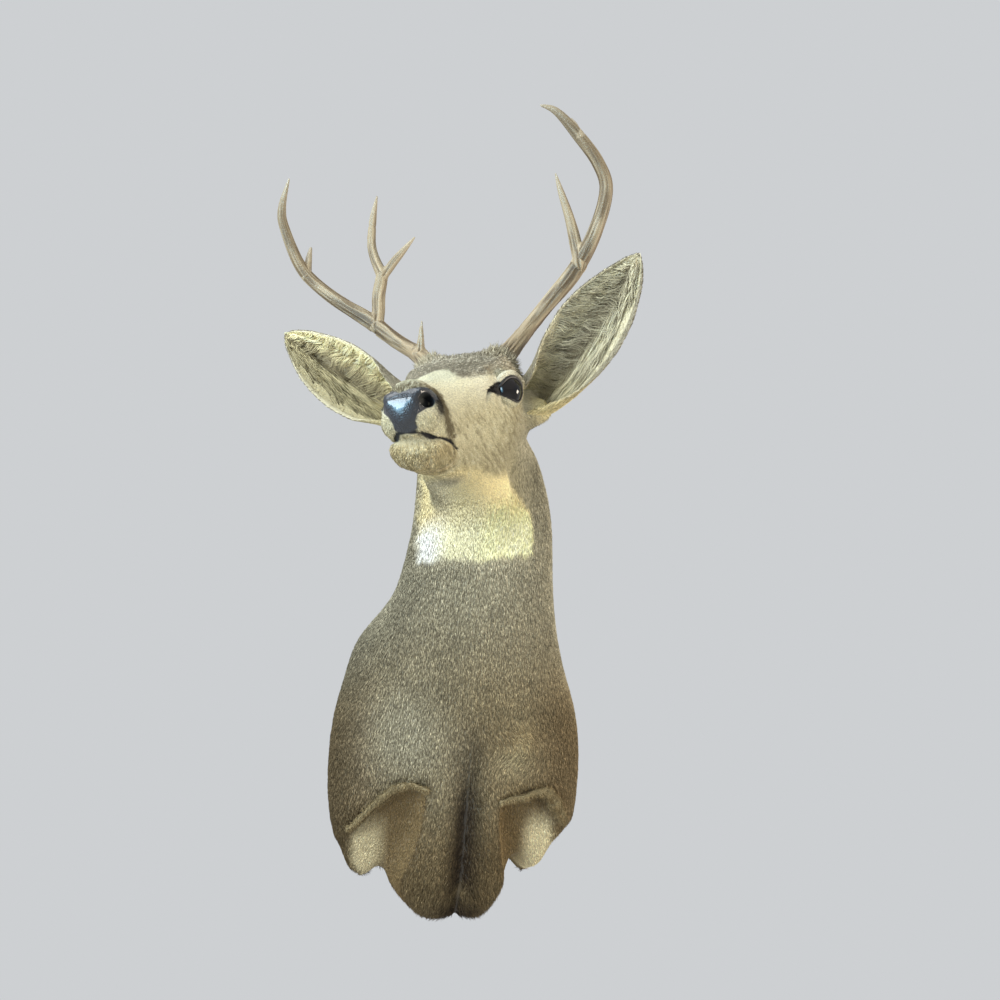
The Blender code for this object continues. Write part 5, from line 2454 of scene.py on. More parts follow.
@dataclass(frozen=True)
class Antler:
    """One antler: stems fused into one, grooved along their length."""

    side: Side
    stems: tuple[Table, ...]
    nodes: tuple[str, ...]
    voxel: float = 0.0013

    def nearest(self, points: Array) -> tuple[Array, Array, Array, Array]:
        """For each point: distance along its stem, angle round it, radius, and height up.

        Args:
            points: The vertices.

        Returns:
            The four, with a number for each point.
        """
        lines = []
        for table in self.stems:
            rows = sampled(table, 10 * len(table))
            path = unit(np.gradient(rows[:, :3], axis=0))
            length = np.concatenate(((0,), np.cumsum(np.linalg.norm(np.diff(rows[:, :3], axis=0), axis=1))))
            lines.append(np.column_stack((rows, path, length)))
        line = np.concatenate(lines)
        local = POSE.to_head(points)
        gap = (local**2).sum(1)[:, None] - 2 * local @ line[:, :3].T + (line[:, :3] ** 2).sum(1)
        best = line[np.argmin(gap, axis=1)]
        offset = local - best[:, :3]
        side = unit(np.cross(best[:, 4:7], np.array((0.1, 0.9, 0.3))))
        other = np.cross(best[:, 4:7], side)
        angle = np.arctan2((offset * side).sum(1), (offset * other).sum(1))
        return best[:, 7], angle, best[:, 3], local[:, 2]

    def build(self) -> bpy.types.Object:
        """Fuses the stems, then cuts grooves and beads that fade towards the tips.

        Groove depth is noise in angle and length, long along the stem and narrow across it.

        Returns:
            The piece.
        """
        stems = [head_tube(table, 10 * len(table), 20) for table in self.stems]
        points, triangles = fused("antler", stems, self.voxel)
        points = relax(points, edges_of(triangles), 0.6, 5)
        normals = normals_of(points, triangles)
        length, angle, radius, height = self.nearest(points)
        place = np.stack((np.cos(angle) * 2.2, np.sin(angle) * 2.2, length / 0.062), -1)
        groove = lattice_noise(place, 0.55, 31) + 0.5 * lattice_noise(place, 0.27, 32)
        stripe = lattice_noise(place * (0.42, 0.42, 0.5), 0.55, 34)
        bead = lattice_noise(points, 0.0042, 33)
        rough = smooth(0.30, 0.06, height) * 0.8 + 0.2
        burr = smooth(0.010, 0.0, np.abs(length - 0.022)) * (radius > 0.0115)
        push = 0.0013 * groove * rough + 0.0006 * np.maximum(bead, 0) * smooth(0.16, 0.05, height)
        push += 0.0022 * burr * (1 + 0.6 * bead)
        thick = smooth(0.0016, 0.005, radius)
        points = points + normals * (push * thick)[:, None]
        mesh = new_mesh("antler", points, triangles)
        weigh(mesh, "tip", smooth(0.0075, 0.0028, radius))
        weigh(mesh, "groove", np.clip(0.5 + 0.9 * groove, 0, 1))
        weigh(mesh, "stripe", np.clip(0.5 + 1.1 * stripe, 0, 1))
        weigh(mesh, "root", smooth(0.16, 0.05, height))
        name = "antler_" + self.side.word
        piece = new_piece(name, mesh, AntlerFinish(name).material())
        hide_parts(*self.nodes)
        return piece


@dataclass(frozen=True)
class AntlerFinish:
    """Weathered antler: brown in the grooves, tan on the ridges, ivory at the tips."""

    name: str

    def material(self) -> bpy.types.Material:
        """Colour from the grooves, the stem's height and two scales of noise.

        Returns:
            The material.
        """
        g = Graph(self.name + "_bone", 0.5, Specular_IOR_Level=0.45)
        place = g.place()
        groove = g.attribute("groove")
        blotch = g.noise(0.02, 3.0, place)
        fine = g.noise(0.0016, 4.0, place)
        ridge = g.mixed(groove, (0.098, 0.066, 0.034, 1), (0.49, 0.415, 0.270, 1))
        pale = g.mixed(g.attribute("stripe"), g.scaled(ridge, 0.30 + blotch * 0.3), ridge)
        brown = g.mixed(groove, (0.030, 0.019, 0.010, 1), (0.34, 0.26, 0.155, 1))
        stem = g.mixed(g.math("MULTIPLY", g.attribute("root"), 0.8), pale, brown)
        stem = g.mixed(blotch * 0.4, stem, (0.27, 0.185, 0.080, 1))
        ivory = g.mixed(fine, (0.33, 0.275, 0.175, 1), (0.47, 0.41, 0.29, 1))
        colour = g.mixed(g.attribute("tip") * 0.9, stem, ivory)
        g.feed("Base Color", g.scaled(colour, 0.80 + fine * 0.40))
        g.feed("Roughness", 0.62 - g.attribute("tip") * 0.22 - groove * 0.10)
        g.bump(fine * 0.6 + groove * 0.4, 0.0010, 0.8)
        return g.material


# ---------------------------------------------------------------- coat


@dataclass(frozen=True)
class Lie:
    """Which way the hair lies."""

    def ways(self, s: Spots) -> Array:
        """From the nose back over the head, and from the head down to the board.

        On the head the hair runs back along the head, up over the brow and down on the cheeks
        and chin. On the neck and trunk it runs along the sections towards the board, parted
        at the midline of the chest and swirled at the whorl.

        Args:
            s: Where the hair is rooted.

        Returns:
            Unit directions in the surface.
        """
        neck = smooth(0.05, 0.30, s.z)
        body = np.stack((0 * s.z, 0.42 + 0.10 * neck, -0.9 + 0 * s.z), -1)
        body[:, 0] += 0.25 * np.sign(s.x) * smooth(0.03, 0.0, np.abs(s.x)) * smooth(0.0, -0.1, s.z)
        body[:, 0] += 0.20 * np.sign(s.x) * smooth(-0.06, -0.15, s.z)
        swirl = knoll(s.points, (0.062, -0.22, -0.045), (0.03, 0.05, 0.035))
        body[:, 0] += 1.6 * swirl * np.sin((s.z + 0.04) * 90)
        apart = 0.35 * np.sign(s.left) * smooth(0.0, 0.03, s.out)
        head = np.stack((apart, 0.95 + 0 * s.x, -0.12 + 0 * s.x), -1)
        head[:, 2] += 0.35 * smooth(0.05, -0.03, s.forward) * smooth(0.03, 0.0, s.below_top)
        head[:, 2] -= 0.50 * smooth(0.02, -0.05, s.up) + 0.15 * smooth(-0.05, -0.09, s.up)
        chin = smooth(-0.058, -0.066, s.up) * smooth(0.09, 0.12, s.forward)
        head[:, 2] -= 1.0 * chin
        head[:, 1] -= 0.45 * chin
        ways = blend(body, POSE.way_to_world(head), s.on_head())
        ways += 0.10 * np.stack([lattice_noise(s.points, 0.02, 41 + k) for k in range(3)], -1)
        return flattened(ways, s.normals)


@dataclass
class Tufts:
    """A patch of coat: many thin tufts, each a closed spindle of five points."""

    name: str
    roots: Array
    normals: Array
    ways: Array
    length: Array
    width: Array
    lift: Array
    colours: Array
    agouti: Array
    unwrapped: Array
    rng: np.random.Generator
    root_depth: float = 0.0005

    def mesh(self) -> bpy.types.Mesh:
        """The tufts' mesh.

        Each tuft has a root just under the skin, a belly of left, right and top points a bit
        before its middle, and a tip. The belly is as wide as the tuft and a third as high, and
        the tip stands off by the lift.

        Returns:
            The mesh.
        """
        count = len(self.roots)
        rng = self.rng
        normals = self.normals
        ways = unit(self.ways + 0.13 * rng.normal(size=(count, 1)) * np.cross(normals, self.ways))
        side = np.cross(normals, ways)
        length = (self.length * rng.uniform(0.75, 1.2, count))[:, None]
        width = (self.width * rng.uniform(0.75, 1.25, count))[:, None]
        lift = (self.lift * rng.uniform(0.5, 1.5, count))[:, None]
        base = self.roots - normals * self.root_depth
        belly = base + ways * length * 0.42 + normals * (length * lift * 0.40 + 0.0004)
        tip = base + ways * length * np.cos(lift) + normals * (length * lift * 0.8 + 0.0006)
        tip += side * length * 0.10 * rng.normal(size=(count, 1))
        left = belly + side * width / 2
        right = belly - side * width / 2
        top = belly + normals * width * 0.32
        points = np.stack((base, left, right, top, tip), axis=1).reshape(-1, 3)
        shape = np.array(((0, 3, 1), (0, 2, 3), (0, 1, 2), (4, 1, 3), (4, 3, 2), (4, 2, 1)))
        triangles = (np.arange(count)[:, None, None] * 5 + shape).reshape(-1, 3)
        mesh = new_mesh(self.name, points, outward(points, triangles))
        bright = np.exp(rng.normal(size=count) * (0.05 + 0.11 * self.agouti))
        dark = rng.uniform(size=count) < 0.34 * self.agouti
        pale = rng.uniform(size=count) < 0.22 * self.agouti
        tipped = np.where(dark, 0.60, np.where(pale, 1.25, 1.0))
        root_shade = (0.92 - 0.2 * self.agouti) * bright
        shade = np.stack((root_shade, bright, bright, 1.02 * bright, 1.04 * bright * tipped), -1)
        shade[:, 1:4] *= (1 + 0.55 * (tipped - 1))[:, None]
        tint = self.colours[:, None, :] * shade[:, :, None]
        paint(mesh, "tint", np.clip(tint.reshape(-1, 3), 0, 0.95))
        weigh(mesh, "grizzle", np.repeat(0.20 + 0.80 * self.agouti, 5))
        corner = np.array(((0.0, -1.0), (-1.0, 0.0), (1.0, 0.0), (0.2, 0.1), (0.0, 1.0))) * MAP_REACH
        unwrap(mesh, (self.unwrapped[:, None, :] + corner).reshape(-1, 2))
        return mesh

    def build(self, finish: "CoatFinish") -> bpy.types.Object:
        """The patch as a piece.

        Args:
            finish: The hair's finish.

        Returns:
            The piece.
        """
        piece = new_piece(self.name, self.mesh(), finish.material())
        return piece


def scatter(
    points: Array, triangles: Array, density: Array, rng: np.random.Generator
) -> tuple[Array, Array]:
    """Random places on a mesh, as many per area as a density at its vertices says.

    Args:
        points: Vertices.
        triangles: Triangles.
        density: Places per square metre at each vertex.
        rng: A seeded generator.

    Returns:
        The triangle of each place, and its weights for the triangle's corners.
    """
    a, b, c = corners_of(points, triangles)
    area = np.linalg.norm(np.cross(b - a, c - a), axis=1) / 2
    expected = area * density[triangles].mean(axis=1)
    count = np.floor(expected + rng.uniform(size=len(expected))).astype(int)
    chosen = np.repeat(np.arange(len(triangles)), count)
    r = np.sqrt(rng.uniform(size=len(chosen)))
    q = rng.uniform(size=len(chosen))
    return chosen, np.stack((1 - r, r * (1 - q), r * q), -1)


@dataclass(frozen=True)
class CoatFinish:
    """Hair: painted colour along each tuft, dull, with fine strands drawn out along it."""

    name: str
    stretch: tuple[float, float, float] = (1.0, 1.0, 1.0)
    contrast: float = 0.9

    def material(self) -> bpy.types.Material:
        """Painted colour, broken up by two scales of drawn-out noise.

        Returns:
            The material.
        """
        g = Graph(self.name, 0.75, Specular_IOR_Level=0.07)
        place = g.wire(g.node("Mapping", None, Vector=g.place(), Scale=self.stretch))
        strand = g.noise(0.0010, 2.0, place)
        lock = g.noise(0.0030, 2.0, place)
        grain = strand * (1.2 * self.contrast) + lock * (0.45 * self.contrast) - 0.825 * self.contrast
        shade = grain * g.attribute("grizzle") + 1.0
        g.feed("Base Color", g.scaled(g.attribute("tint", "Color"), g.math("MAXIMUM", shade, 0.25)))
        g.feed("Roughness", 0.66 + strand * 0.2)
        g.bump(strand, 0.0003, 0.6)
        return g.material


@dataclass
class BodyCoat:
    """The coat over the hide, in patches of one piece each."""

    hide: Hide

    def fields(self, s: Spots) -> dict[str, Array]:
        """Density, length, width, lift and agouti of the coat at each spot.

        Args:
            s: The spots.

        Returns:
            The five, by name.
        """
        head = s.on_head()
        face = head * smooth(-0.05, 0.0, s.forward)
        nose = smooth(0.06, 0.15, s.forward) * head
        inner = MARKINGS.inside_legs(s)[0] * (1 - head)
        length = 0.0115 - 0.0055 * head - 0.0012 * face - 0.0012 * nose - 0.005 * inner
        width = 0.00125 - 0.0001 * head - 0.0001 * face - 0.0001 * nose + 0.0003 * self.white(s)
        density = 1 / (3.3e-6 - 1.2e-6 * head - 0.5e-6 * face)
        lift = 0.12 - 0.03 * head - 0.06 * self.white(s)
        chin = smooth(-0.060, -0.070, s.up) * smooth(0.085, 0.11, s.forward) * head
        length = length + 0.0025 * chin
        crown = smooth(-0.008, -0.036, s.forward) * smooth(0.05, 0.03, s.below_top) * (s.forward > -0.14)
        crown = crown * smooth(0.09, 0.07, s.out)
        pedicle = knoll(s.half, ANTLER_PEDICLE, (0.024, 0.024, 0.020))
        length = length + 0.0070 * crown + 0.0080 * pedicle
        lift = lift + 0.34 * crown + 0.45 * pedicle
        bottom = smooth(-0.16, -0.21, s.z)
        length = length + 0.004 * bottom
        lift = lift + 0.10 * bottom
        bridge = smooth(0.050, 0.020, s.below_top) * smooth(-0.02, 0.02, s.forward)
        grizzle = np.clip(1.0 - head * (0.10 + 0.50 * bridge) - self.white(s), 0.05, 1.0)
        forehead = Markings.forehead_edge(s) * head
        grizzle = np.maximum(grizzle, 0.9 * np.maximum(forehead, crown))
        grizzle = grizzle * (1 - 0.5 * inner)
        lips = path_distance(s.half, MOUTH_LINE, 20)
        wide = np.interp(lips[1], (0, 0.3, 0.5, 1.0), (0.0050, 0.0042, 0.0022, 0.0016))
        bare = np.maximum(Markings.nose(s), smooth(wide + 0.0006, wide, lips[0]) * head)
        duct = smooth(0.0016, 0.0010, path_distance(s.half, TEAR_DUCT, 8)[0])
        turn, angle, distance = s.eye_polar()
        opened = OPENING.inside(turn, angle)
        eye = (opened > -0.07) & (distance < 0.034)
        wall = smooth(-0.0155, -0.0135, s.y)
        density = density * (1 - bare) * (1 - duct) * (1 - eye) * (1 - wall)
        near_eye = smooth(0.60, 0.15, -opened) * (distance < 0.038)
        length = length * (1 - 0.45 * near_eye)
        lift = lift * (1 - 0.4 * near_eye)
        return {"density": density, "length": length, "width": width, "lift": lift, "agouti": grizzle}

    @staticmethod
    def white(s: Spots) -> Array:
        """1 on the throat's plain-coloured hair."""
        sides = smooth(-0.086, -0.078, s.x) * smooth(0.070, 0.062, s.x)
        return 0.85 * sides * smooth(0.165, 0.180, s.z) * smooth(0.2, -0.2, s.normals[:, 1])

    def build(self, patches: int = 7) -> list[bpy.types.Object]:
        """Scatters the tufts and makes one piece of each patch.

        Args:
            patches: How many pieces the coat is split into.

        Returns:
            The pieces.
        """
        rng = np.random.default_rng(SEED)
        hide = self.hide
        fields = self.fields(hide.spots)
        chosen, weights = scatter(hide.points, hide.triangles, fields["density"], rng)
        corners = hide.triangles[chosen]

        def mix(values: Array) -> Array:
            """The hide's values at the tufts' roots."""
            return mixed_at(values, corners, weights)

        roots = mix(hide.points)
        normals = unit(mix(hide.normals))
        spots = Spots(roots, normals)
        ways = Lie().ways(spots)
        colours = MARKINGS.colours(spots)
        place, angle, _ = MARKINGS.body.locate(roots)
        head = spots.on_head() > 0.5
        head_angle = np.arctan2(spots.left, spots.up + 0.035)
        turn = np.where(head, head_angle, angle) / (2 * math.pi) + 0.5
        flat = np.stack((turn, np.where(head, spots.forward * 4, place / 9)), -1)
        order = np.lexsort((flat[:, 1], head))
        made = []
        for index, part in enumerate(np.array_split(order, patches)):
            low, high = flat[part].min(axis=0), flat[part].max(axis=0)
            even = inset((flat[part] - low) / (high - low))
            name = f"coat_{index}"
            tufts = Tufts(
                name, roots[part], normals[part], ways[part], mix(fields["length"])[part],
                mix(fields["width"])[part], mix(fields["lift"])[part], colours[part],
                mix(fields["agouti"])[part], even, rng,
            )
            made.append(tufts.build(CoatFinish(name, (1.15, 0.95, 0.42), 1.6)))
        return made


@dataclass
class EarCoat:
    """Short hair over an ear, and long wavy locks inside it."""

    ear: Ear
    area_each: float = 3.1e-6

    def place(self, u: Array, v: Array, inner: Array) -> tuple[Array, Array]:
        """Places on the shell's surface and the directions it faces there.

        Args:
            u: From 0 at the root to 1 at the tip.
            v: From -1 to 1 across.
            inner: 1 inside the cup, 0 on the back.

        Returns:
            The places and the directions.
        """
        form = self.ear.form
        depth = np.where(inner > 0.5, form.wall / 2, -form.wall / 2) * np.sqrt(np.clip(1 - v**6, 0.02, 1))
        at = form.surface(u, v, depth)
        normal = unit(np.cross(*form.steps(u, v, depth, 0.004)))
        toward = form.surface(u, v, depth + 0.001) - at
        normal *= np.sign((normal * toward).sum(axis=1, keepdims=True))
        return at, normal * np.where(inner > 0.5, 1, -1)[:, None]

    def build(self) -> list[bpy.types.Object]:
        """Scatters short tufts over the shell and sets the locks.

        Returns:
            The pieces.
        """
        ear, form = self.ear, self.ear.form
        side = form.side.word
        rng = np.random.default_rng(SEED + form.side.value)
        density = 1 / (self.area_each * (1 + 0.8 * ear.inner))
        chosen, weights = scatter(ear.points, ear.triangles, density, rng)
        corners = ear.triangles[chosen]

        def mix(values: Array) -> Array:
            """The shell's values at the tufts' roots."""
            return mixed_at(values, corners, weights)

        roots, normals = mix(ear.points), unit(mix(ear.normals))
        u, v, inner = mix(ear.u), np.clip(mix(ear.v), -1, 1), (mix(ear.inner) > 0.5).astype(float)
        ahead, outwards = form.steps(u, v, 0.0, 0.01)
        ways = flattened(unit(unit(ahead) + 0.35 * v[:, None] * unit(outwards)), normals)
        size = 0.0075 * (1 - 0.45 * u)
        tufts = Tufts(
            "coat_ear_" + side, roots, normals, ways, size, np.full(len(u), 0.0012),
            np.full(len(u), 0.16), ear.tint(u, v, inner), 0.25 + 0.55 * (1 - inner),
            inset(np.stack(((v + 1) / 4 + 0.5 * inner, u), -1)), rng,
        )
        return [tufts.build(CoatFinish(tufts.name)), self.locks(rng)]

    def locks(
        self, rng: np.random.Generator, clumps: int = 230, each: int = 11, rings: int = 5
    ) -> bpy.types.Object:
        """Long hair in the cup: three-sided tapering strands in clumps, along wavy curves.

        A clump starts near the rim on the head's side, or on the other side, and runs in u
        towards the tip and in v towards the middle; it stands off the surface by a half sine
        and waves in u. Its strands start spread out and end close together.

        Args:
            rng: A seeded generator.
            clumps: How many clumps.
            each: Strands in a clump.
            rings: Rings along a strand.

        Returns:
            The piece.
        """
        form = self.ear.form
        head_side = form.side.value
        count = clumps * each

        def shared(low: float, high: float) -> Array:
            """One number for each clump, given to all its strands."""
            return np.repeat(rng.uniform(low, high, clumps), each)

        def ring_values(values: Array) -> Array:
            """One number for each ring, given to its three points, and the ends' numbers."""
            return np.concatenate((np.repeat(values, 3, axis=1), values[:, [0, -1]]), axis=1)

        strong = shared(0, 1) < 0.60
        v0 = np.where(strong, shared(0.25, 0.97) * head_side, -shared(0.15, 0.74) * head_side)
        u0 = np.clip(0.02 + 0.86 * shared(0, 1) ** 1.25 + rng.normal(size=count) * 0.012, 0.01, 0.9)
        v0 = np.clip(v0 + rng.normal(size=count) * 0.045, -0.97, 0.97)
        reach_u = np.where(strong, shared(0.02, 0.10), shared(0.08, 0.15))
        reach_u = reach_u * (1 - 0.3 * u0) * rng.uniform(0.8, 1.2, count)
        reach_v = -np.sign(v0) * shared(0.30, 0.80) * np.where(strong, 1.0, 0.15)
        t = np.linspace(0, 1, rings)[None, :]
        wave = 0.014 * np.sin(8.0 * t + shared(0, 6.3)[:, None]) * t
        near = (rng.normal(size=(count, 1)) * 0.03) * (1 - t)
        u = np.clip(u0[:, None] + reach_u[:, None] * t + wave, 0.01, 0.985)
        v = np.clip(v0[:, None] + reach_v[:, None] * t**1.1 + near, -0.97, 0.97)
        stand = 0.0060 * np.sin(math.pi * np.clip(t, 0, 0.85))
        stand = stand * (shared(0.3, 1.2) * rng.uniform(0.8, 1.2, count))[:, None]
        at, normal = self.place(u.ravel(), v.ravel(), np.ones(u.size))
        line = (at + normal * (stand.ravel() + 0.0004)[:, None]).reshape(count, rings, 3)
        normal = normal.reshape(count, rings, 3)
        path = unit(np.gradient(line, axis=1))
        side = unit(np.cross(path, normal))
        width = (rng.uniform(0.00035, 0.00070, (count, 1)) * (1 - 0.8 * t**1.6))[:, :, None]
        turns = [0.0, 2.1, 4.2]
        ring = [line + width * (math.cos(q) * side + 0.5 * math.sin(q) * normal) for q in turns]
        body = np.stack(ring, axis=2).reshape(count, rings * 3, 3)
        ends = np.stack((line[:, 0], line[:, -1] + path[:, -1] * 0.001), axis=1)
        points = np.concatenate((body, ends), axis=1).reshape(-1, 3)
        shape = triangles_of(tube_faces(rings, 3))
        triangles = (np.arange(count)[:, None, None] * (rings * 3 + 2) + shape).reshape(-1, 3)
        mesh = new_mesh("locks", points, outward(points, triangles))
        t = TONES
        pale = np.array(t.ear_pale) * (shared(0.92, 1.25) * rng.uniform(0.68, 1.25, count))[:, None]
        middle = 0.85 * smooth(0.30, 0.12, np.abs(v0))
        middle += 0.75 * (shared(0, 1) < 0.10) * (v0 * head_side < 0.6)
        middle += 0.8 * (rng.uniform(size=count) < 0.10)
        colour = blend(pale, t.ear_core, np.minimum(middle, 0.85))
        colour = blend(colour, t.ear_lobe, 0.6 * smooth(0.35, 0.12, u0))
        upper = 1.0
        if form.side is Side.RIGHT:
            colour = colour * (1.0, 0.95, 0.80)
            # Painted light: the locks are lighter on the head's side and darker on the other, as the light
            # falls.
            upper = ring_values(1 + 0.60 * v * head_side)[..., None]
        shade = np.append(np.repeat(np.linspace(0.60, 1.12, rings), 3), (0.55, 1.12))
        core = ring_values(0.60 * smooth(0.30, 0.05, np.abs(v)))
        colour = blend(np.repeat(colour[:, None, :], rings * 3 + 2, axis=1), t.ear_core, core)
        paint(mesh, "tint", np.clip((colour * upper * shade[None, :, None]).reshape(-1, 3), 0, 0.95))
        weigh(mesh, "grizzle", np.full(len(points), 0.4))
        local = np.append(np.repeat(np.linspace(-1, 1, rings), 3), (-1, 1)) * MAP_REACH
        wide = np.append(np.tile((-1.0, 0.0, 1.0), rings), (0, 0)) * MAP_REACH
        home = inset(np.stack(((v0 + 1) / 2, u0), -1))
        unwrap(mesh, (home[:, None, :] + np.stack((wide, local), -1)).reshape(-1, 2))
        name = "locks_ear_" + form.side.word
        piece = new_piece(name, mesh, CoatFinish(name).material())
        return piece


# ---------------------------------------------------------------- hems and board


@dataclass(frozen=True)
class Hem:
    """The rolled edge of hide round a leg cut."""

    cut: LegCut
    radius: float = 0.0040

    def build(self) -> list[bpy.types.Object]:
        """A tube along the hem whose radius wanders a little, and its hair.

        Returns:
            The roll and its hair.
        """
        line = self.cut.hem()
        for _ in range(4):
            line[1:-1] = (line[:-2] + 2 * line[1:-1] + line[2:]) / 4
        noise = lattice_noise(line, 0.012, 51)
        radius = self.radius * (1 + 0.25 * noise)
        if self.cut.side is Side.LEFT:
            radius = radius * (1 + 0.9 * smooth(0.095, 0.125, line[:, 0]))
        radius = radius * np.sin(np.linspace(0.12, math.pi - 0.12, len(line))) ** 0.35
        points, triangles = swept_tube(line, radius, 18)
        normals = normals_of(points, triangles)
        points = points + normals * (0.0007 * lattice_noise(points, 0.005, 52))[:, None]
        mesh = new_mesh("hem", points, triangles)
        tint = np.broadcast_to(TONES.hem, points.shape).copy()
        # Painted shade: the roll darkens to the recess tone on its underside.
        tint = blend(tint, TONES.recess, 0.6 * smooth(0.0, -0.8, normals[:, 2]))
        paint(mesh, "tint", tint)
        name = "hem_" + self.cut.side.word
        piece = new_piece(name, mesh, EarFinish(name).material())
        return [piece, self.hair(points, triangles, normals, tint)]

    def hair(self, points: Array, triangles: Array, normals: Array, tint: Array) -> bpy.types.Object:
        """Short tufts over the roll, lying outwards over its edge and down.

        Args:
            points: The roll's vertices.
            triangles: Its triangles.
            normals: Its directions.
            tint: Its colours.

        Returns:
            The piece.
        """
        rng = np.random.default_rng(SEED + 7 + self.cut.side.value)
        chosen, weights = scatter(points, triangles, np.full(len(points), 1 / 2.2e-6), rng)
        corners = triangles[chosen]
        roots = mixed_at(points, corners, weights)
        facing = unit(mixed_at(normals, corners, weights))
        ways = np.broadcast_to((0.25 * self.cut.side.value, -0.35, -0.9), roots.shape)
        ways = unit(ways - facing * (ways * facing).sum(axis=1, keepdims=True) + 1e-6)
        low, high = roots.min(axis=0), roots.max(axis=0)
        even = inset(((roots - low) / (high - low))[:, (0, 2)])
        count = len(roots)
        name = "coat_hem_" + self.cut.side.word
        colours = mixed_at(tint, corners, weights)
        tufts = Tufts(name, roots, facing, ways, np.full(count, 0.0060), np.full(count, 0.0011),
                      np.full(count, 0.20), colours, np.full(count, 0.8), even, rng)
        return tufts.build(CoatFinish(name))


@dataclass(frozen=True)
class BoardFinish:
    """Plain plywood: long grain on the face."""

    def material(self) -> bpy.types.Material:
        """Waved bands along Z, pores and two browns.

        Returns:
            The material.
        """
        g = Graph("plywood_board", 0.6)
        stretch = g.wire(g.node("Mapping", None, Vector=g.place(), Scale=(18.0, 18.0, 1.6)))
        waved = g.node("TexNoise", None, Vector=stretch, Scale=4.0, Detail=5.0, Distortion=0.8)
        grain = g.wire(waved, "Fac")
        pore = g.noise(1 / 26.0, 2.0, stretch)
        g.feed("Base Color", g.mixed(grain, (0.30, 0.185, 0.09, 1), (0.56, 0.40, 0.23, 1)))
        g.feed("Roughness", 0.5 + pore * 0.3)
        g.bump(grain * 0.7 + pore * 0.3, 0.0006, 0.5)
        return g.material

    def dress(self) -> None:
        """Puts the finish on the board's own object."""
        board = frame_object("backboard")
        for slot in board.material_slots:
            slot.material = self.material()


def frame_object(node: str) -> bpy.types.Object:
    """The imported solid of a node."""
    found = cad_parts[node]
    return found if isinstance(found, bpy.types.Object) else bpy.data.objects[node]


# ---------------------------------------------------------------- studio


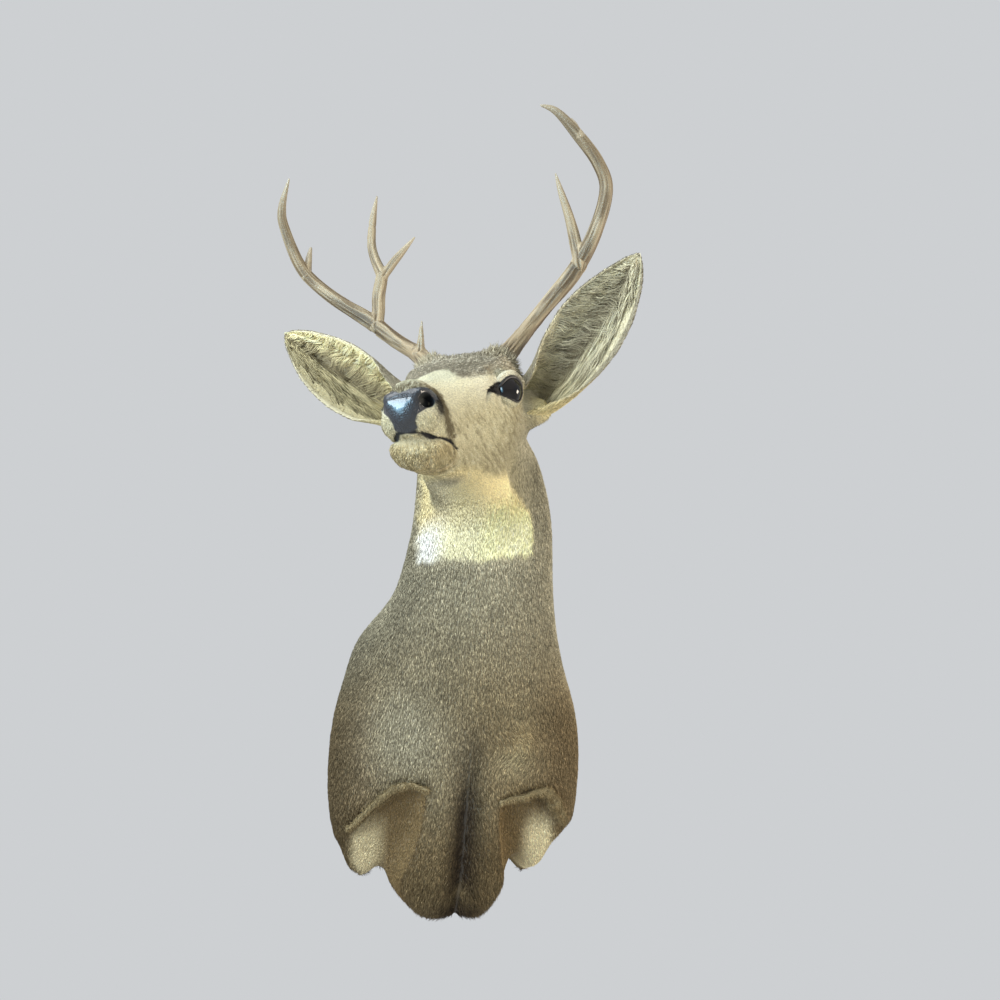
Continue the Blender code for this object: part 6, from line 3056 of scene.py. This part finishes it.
@dataclass(frozen=True)
class Studio:
    """Floor, backdrop, soft lights and the camera."""

    floor_height: float = -2.2
    floor_reach: float = 9.0
    camera_place: tuple[float, float, float] = (-0.157, -1.2, -0.216)
    lens: float = 27.04

    def plane(self, name: str, corners: Sequence[Sequence[float]], grey: float) -> bpy.types.Object:
        """A flat pale surface that isn't part of the mount.

        Args:
            name: The name it gets.
            corners: Its four corners.
            grey: How light it is.

        Returns:
            The plane.
        """
        mesh = bpy.data.meshes.new(name)
        mesh.from_pydata([tuple(c) for c in corners], [], [(0, 1, 2, 3)])
        piece = new_object(name, mesh)
        g = Graph(name + "_paint", 0.9)
        soft = g.noise(0.8, 2.0)
        g.feed("Base Color", g.mixed(soft, (grey, grey, grey * 0.985, 1), (grey * 0.97,) * 3 + (1,)))
        mesh.materials.append(g.material)
        piece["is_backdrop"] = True
        return piece

    @staticmethod
    def light(
        name: str, place: Sequence[float], aim: Sequence[float], size: tuple[float, float],
        watts: float, colour: tuple[float, float, float], spread: float = 180.0,
        shine_only: bool = False,
    ) -> None:
        """A rectangular soft light turned towards a place.

        Args:
            name: Its name.
            place: Where it stands.
            aim: What it points at.
            size: Its width and height.
            watts: Its power.
            colour: Its colour.
            spread: The angle that it spreads over, in degrees.
            shine_only: True for a light that is seen in glossy surfaces and casts nothing else.
        """
        lamp = bpy.data.lights.new(name, "AREA")
        lamp.shape = "RECTANGLE"
        lamp.size, lamp.size_y = size
        lamp.energy = watts
        lamp.color = colour
        lamp.spread = math.radians(spread)
        holder = bpy.data.objects.new(name, lamp)
        bpy.context.scene.collection.objects.link(holder)
        holder.location = place
        holder.rotation_euler = (Vector(aim) - Vector(place)).to_track_quat("-Z", "Y").to_euler()
        holder.visible_diffuse = not shine_only

    def camera(self) -> None:
        """The camera, below the head and looking up at it, rolled a little."""
        data = bpy.data.cameras.new("camera")
        data.lens = self.lens
        data.sensor_width = 36
        holder = bpy.data.objects.new("camera", data)
        bpy.context.scene.collection.objects.link(holder)
        right = Vector((0.98131, -0.18987, -0.03134))
        down = Vector((0.06237, 0.46785, -0.88160))
        ahead = Vector((0.18205, 0.86317, 0.47095))
        matrix = Matrix((right, -down, -ahead)).transposed().to_4x4()
        matrix.translation = Vector(self.camera_place)
        holder.matrix_world = matrix
        bpy.context.scene.camera = holder

    def build(self) -> None:
        """Sets everything up."""
        self.camera()
        square = ((-1, -1), (1, -1), (1, 1), (-1, 1))
        corners = [(x * self.floor_reach, y * self.floor_reach, self.floor_height) for x, y in square]
        self.plane("floor", corners, 0.80)
        self.light("window", (-1.55, -1.75, 0.10), (0, -0.3, 0.15), (1.0, 1.0), 51, (0.85, 0.94, 1.0))
        self.light("blue pane", (-1.15, -1.42, -0.16), (-0.12, -0.58, 0.22), (1.15, 1.45), 8,
                   (0.34, 0.72, 1.0), 55, True)
        self.light("high window", (-1.1, -1.4, 1.9), (0, -0.25, 0.15), (1.6, 1.2), 26, (0.93, 0.97, 1.0))
        self.light("warm fill", (2.2, -0.85, 0.1), (0, -0.2, 0.1), (0.7, 0.7), 40, (1.0, 0.87, 0.72))
        world = bpy.data.worlds.new("studio")
        world.use_nodes = True
        world.node_tree.nodes["Background"].inputs["Color"].default_value = (0.90, 0.925, 0.95, 1)
        world.node_tree.nodes["Background"].inputs["Strength"].default_value = 0.68
        bpy.context.scene.world = world
        bpy.context.scene.view_settings.view_transform = "Standard"


def mount_pieces() -> Iterator[bpy.types.Object]:
    """Builds the mount's pieces one after another.

    Returns:
        The pieces, each as it is built.
    """
    hide = Hide()
    yield hide.build()
    for side, table in ((Side.LEFT, LEFT_EAR), (Side.RIGHT, RIGHT_EAR)):
        ear = Ear(EarForm(side, table))
        yield ear.build()
        yield from EarCoat(ear).build()
        yield GlassEye(side).build()
        yield LidRim(side).build()
    left = ("antler_left_beam", "antler_left_rear_tine", "antler_left_snag", "antler_left_tip")
    yield Antler(Side.LEFT, (LEFT_BEAM, LEFT_REAR_TINE, LEFT_SNAG), left).build()
    right = (
        "antler_right_beam", "antler_right_brow", "antler_right_inner_tine", "antler_right_knob",
        "antler_right_rear_tine", "antler_right_stem", "antler_right_tip",
    )
    stems = (RIGHT_BEAM, RIGHT_STEM, RIGHT_REAR_TINE, RIGHT_INNER_TINE, RIGHT_KNOB, RIGHT_BROW)
    yield Antler(Side.RIGHT, stems, right).build()
    for cut in LEG_CUTS:
        yield from Hem(cut).build()
    yield from BodyCoat(hide).build()


def main() -> None:
    """Builds the mount piece by piece, then the studio."""
    logging.basicConfig(level=logging.INFO, format="%(message)s")
    for piece in mount_pieces():
        LOG.info("%s: %d triangles", piece.name, len(piece.data.polygons))
    BoardFinish().dress()
    Studio().build()
    {"cad": plain(CAD_BOX), "visual": plain(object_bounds())}


def plain(box: object) -> list:
    """A box's corners as plain lists."""
    return [[float(n) for n in corner] for corner in box]


if __name__ == "__main__":
    main()
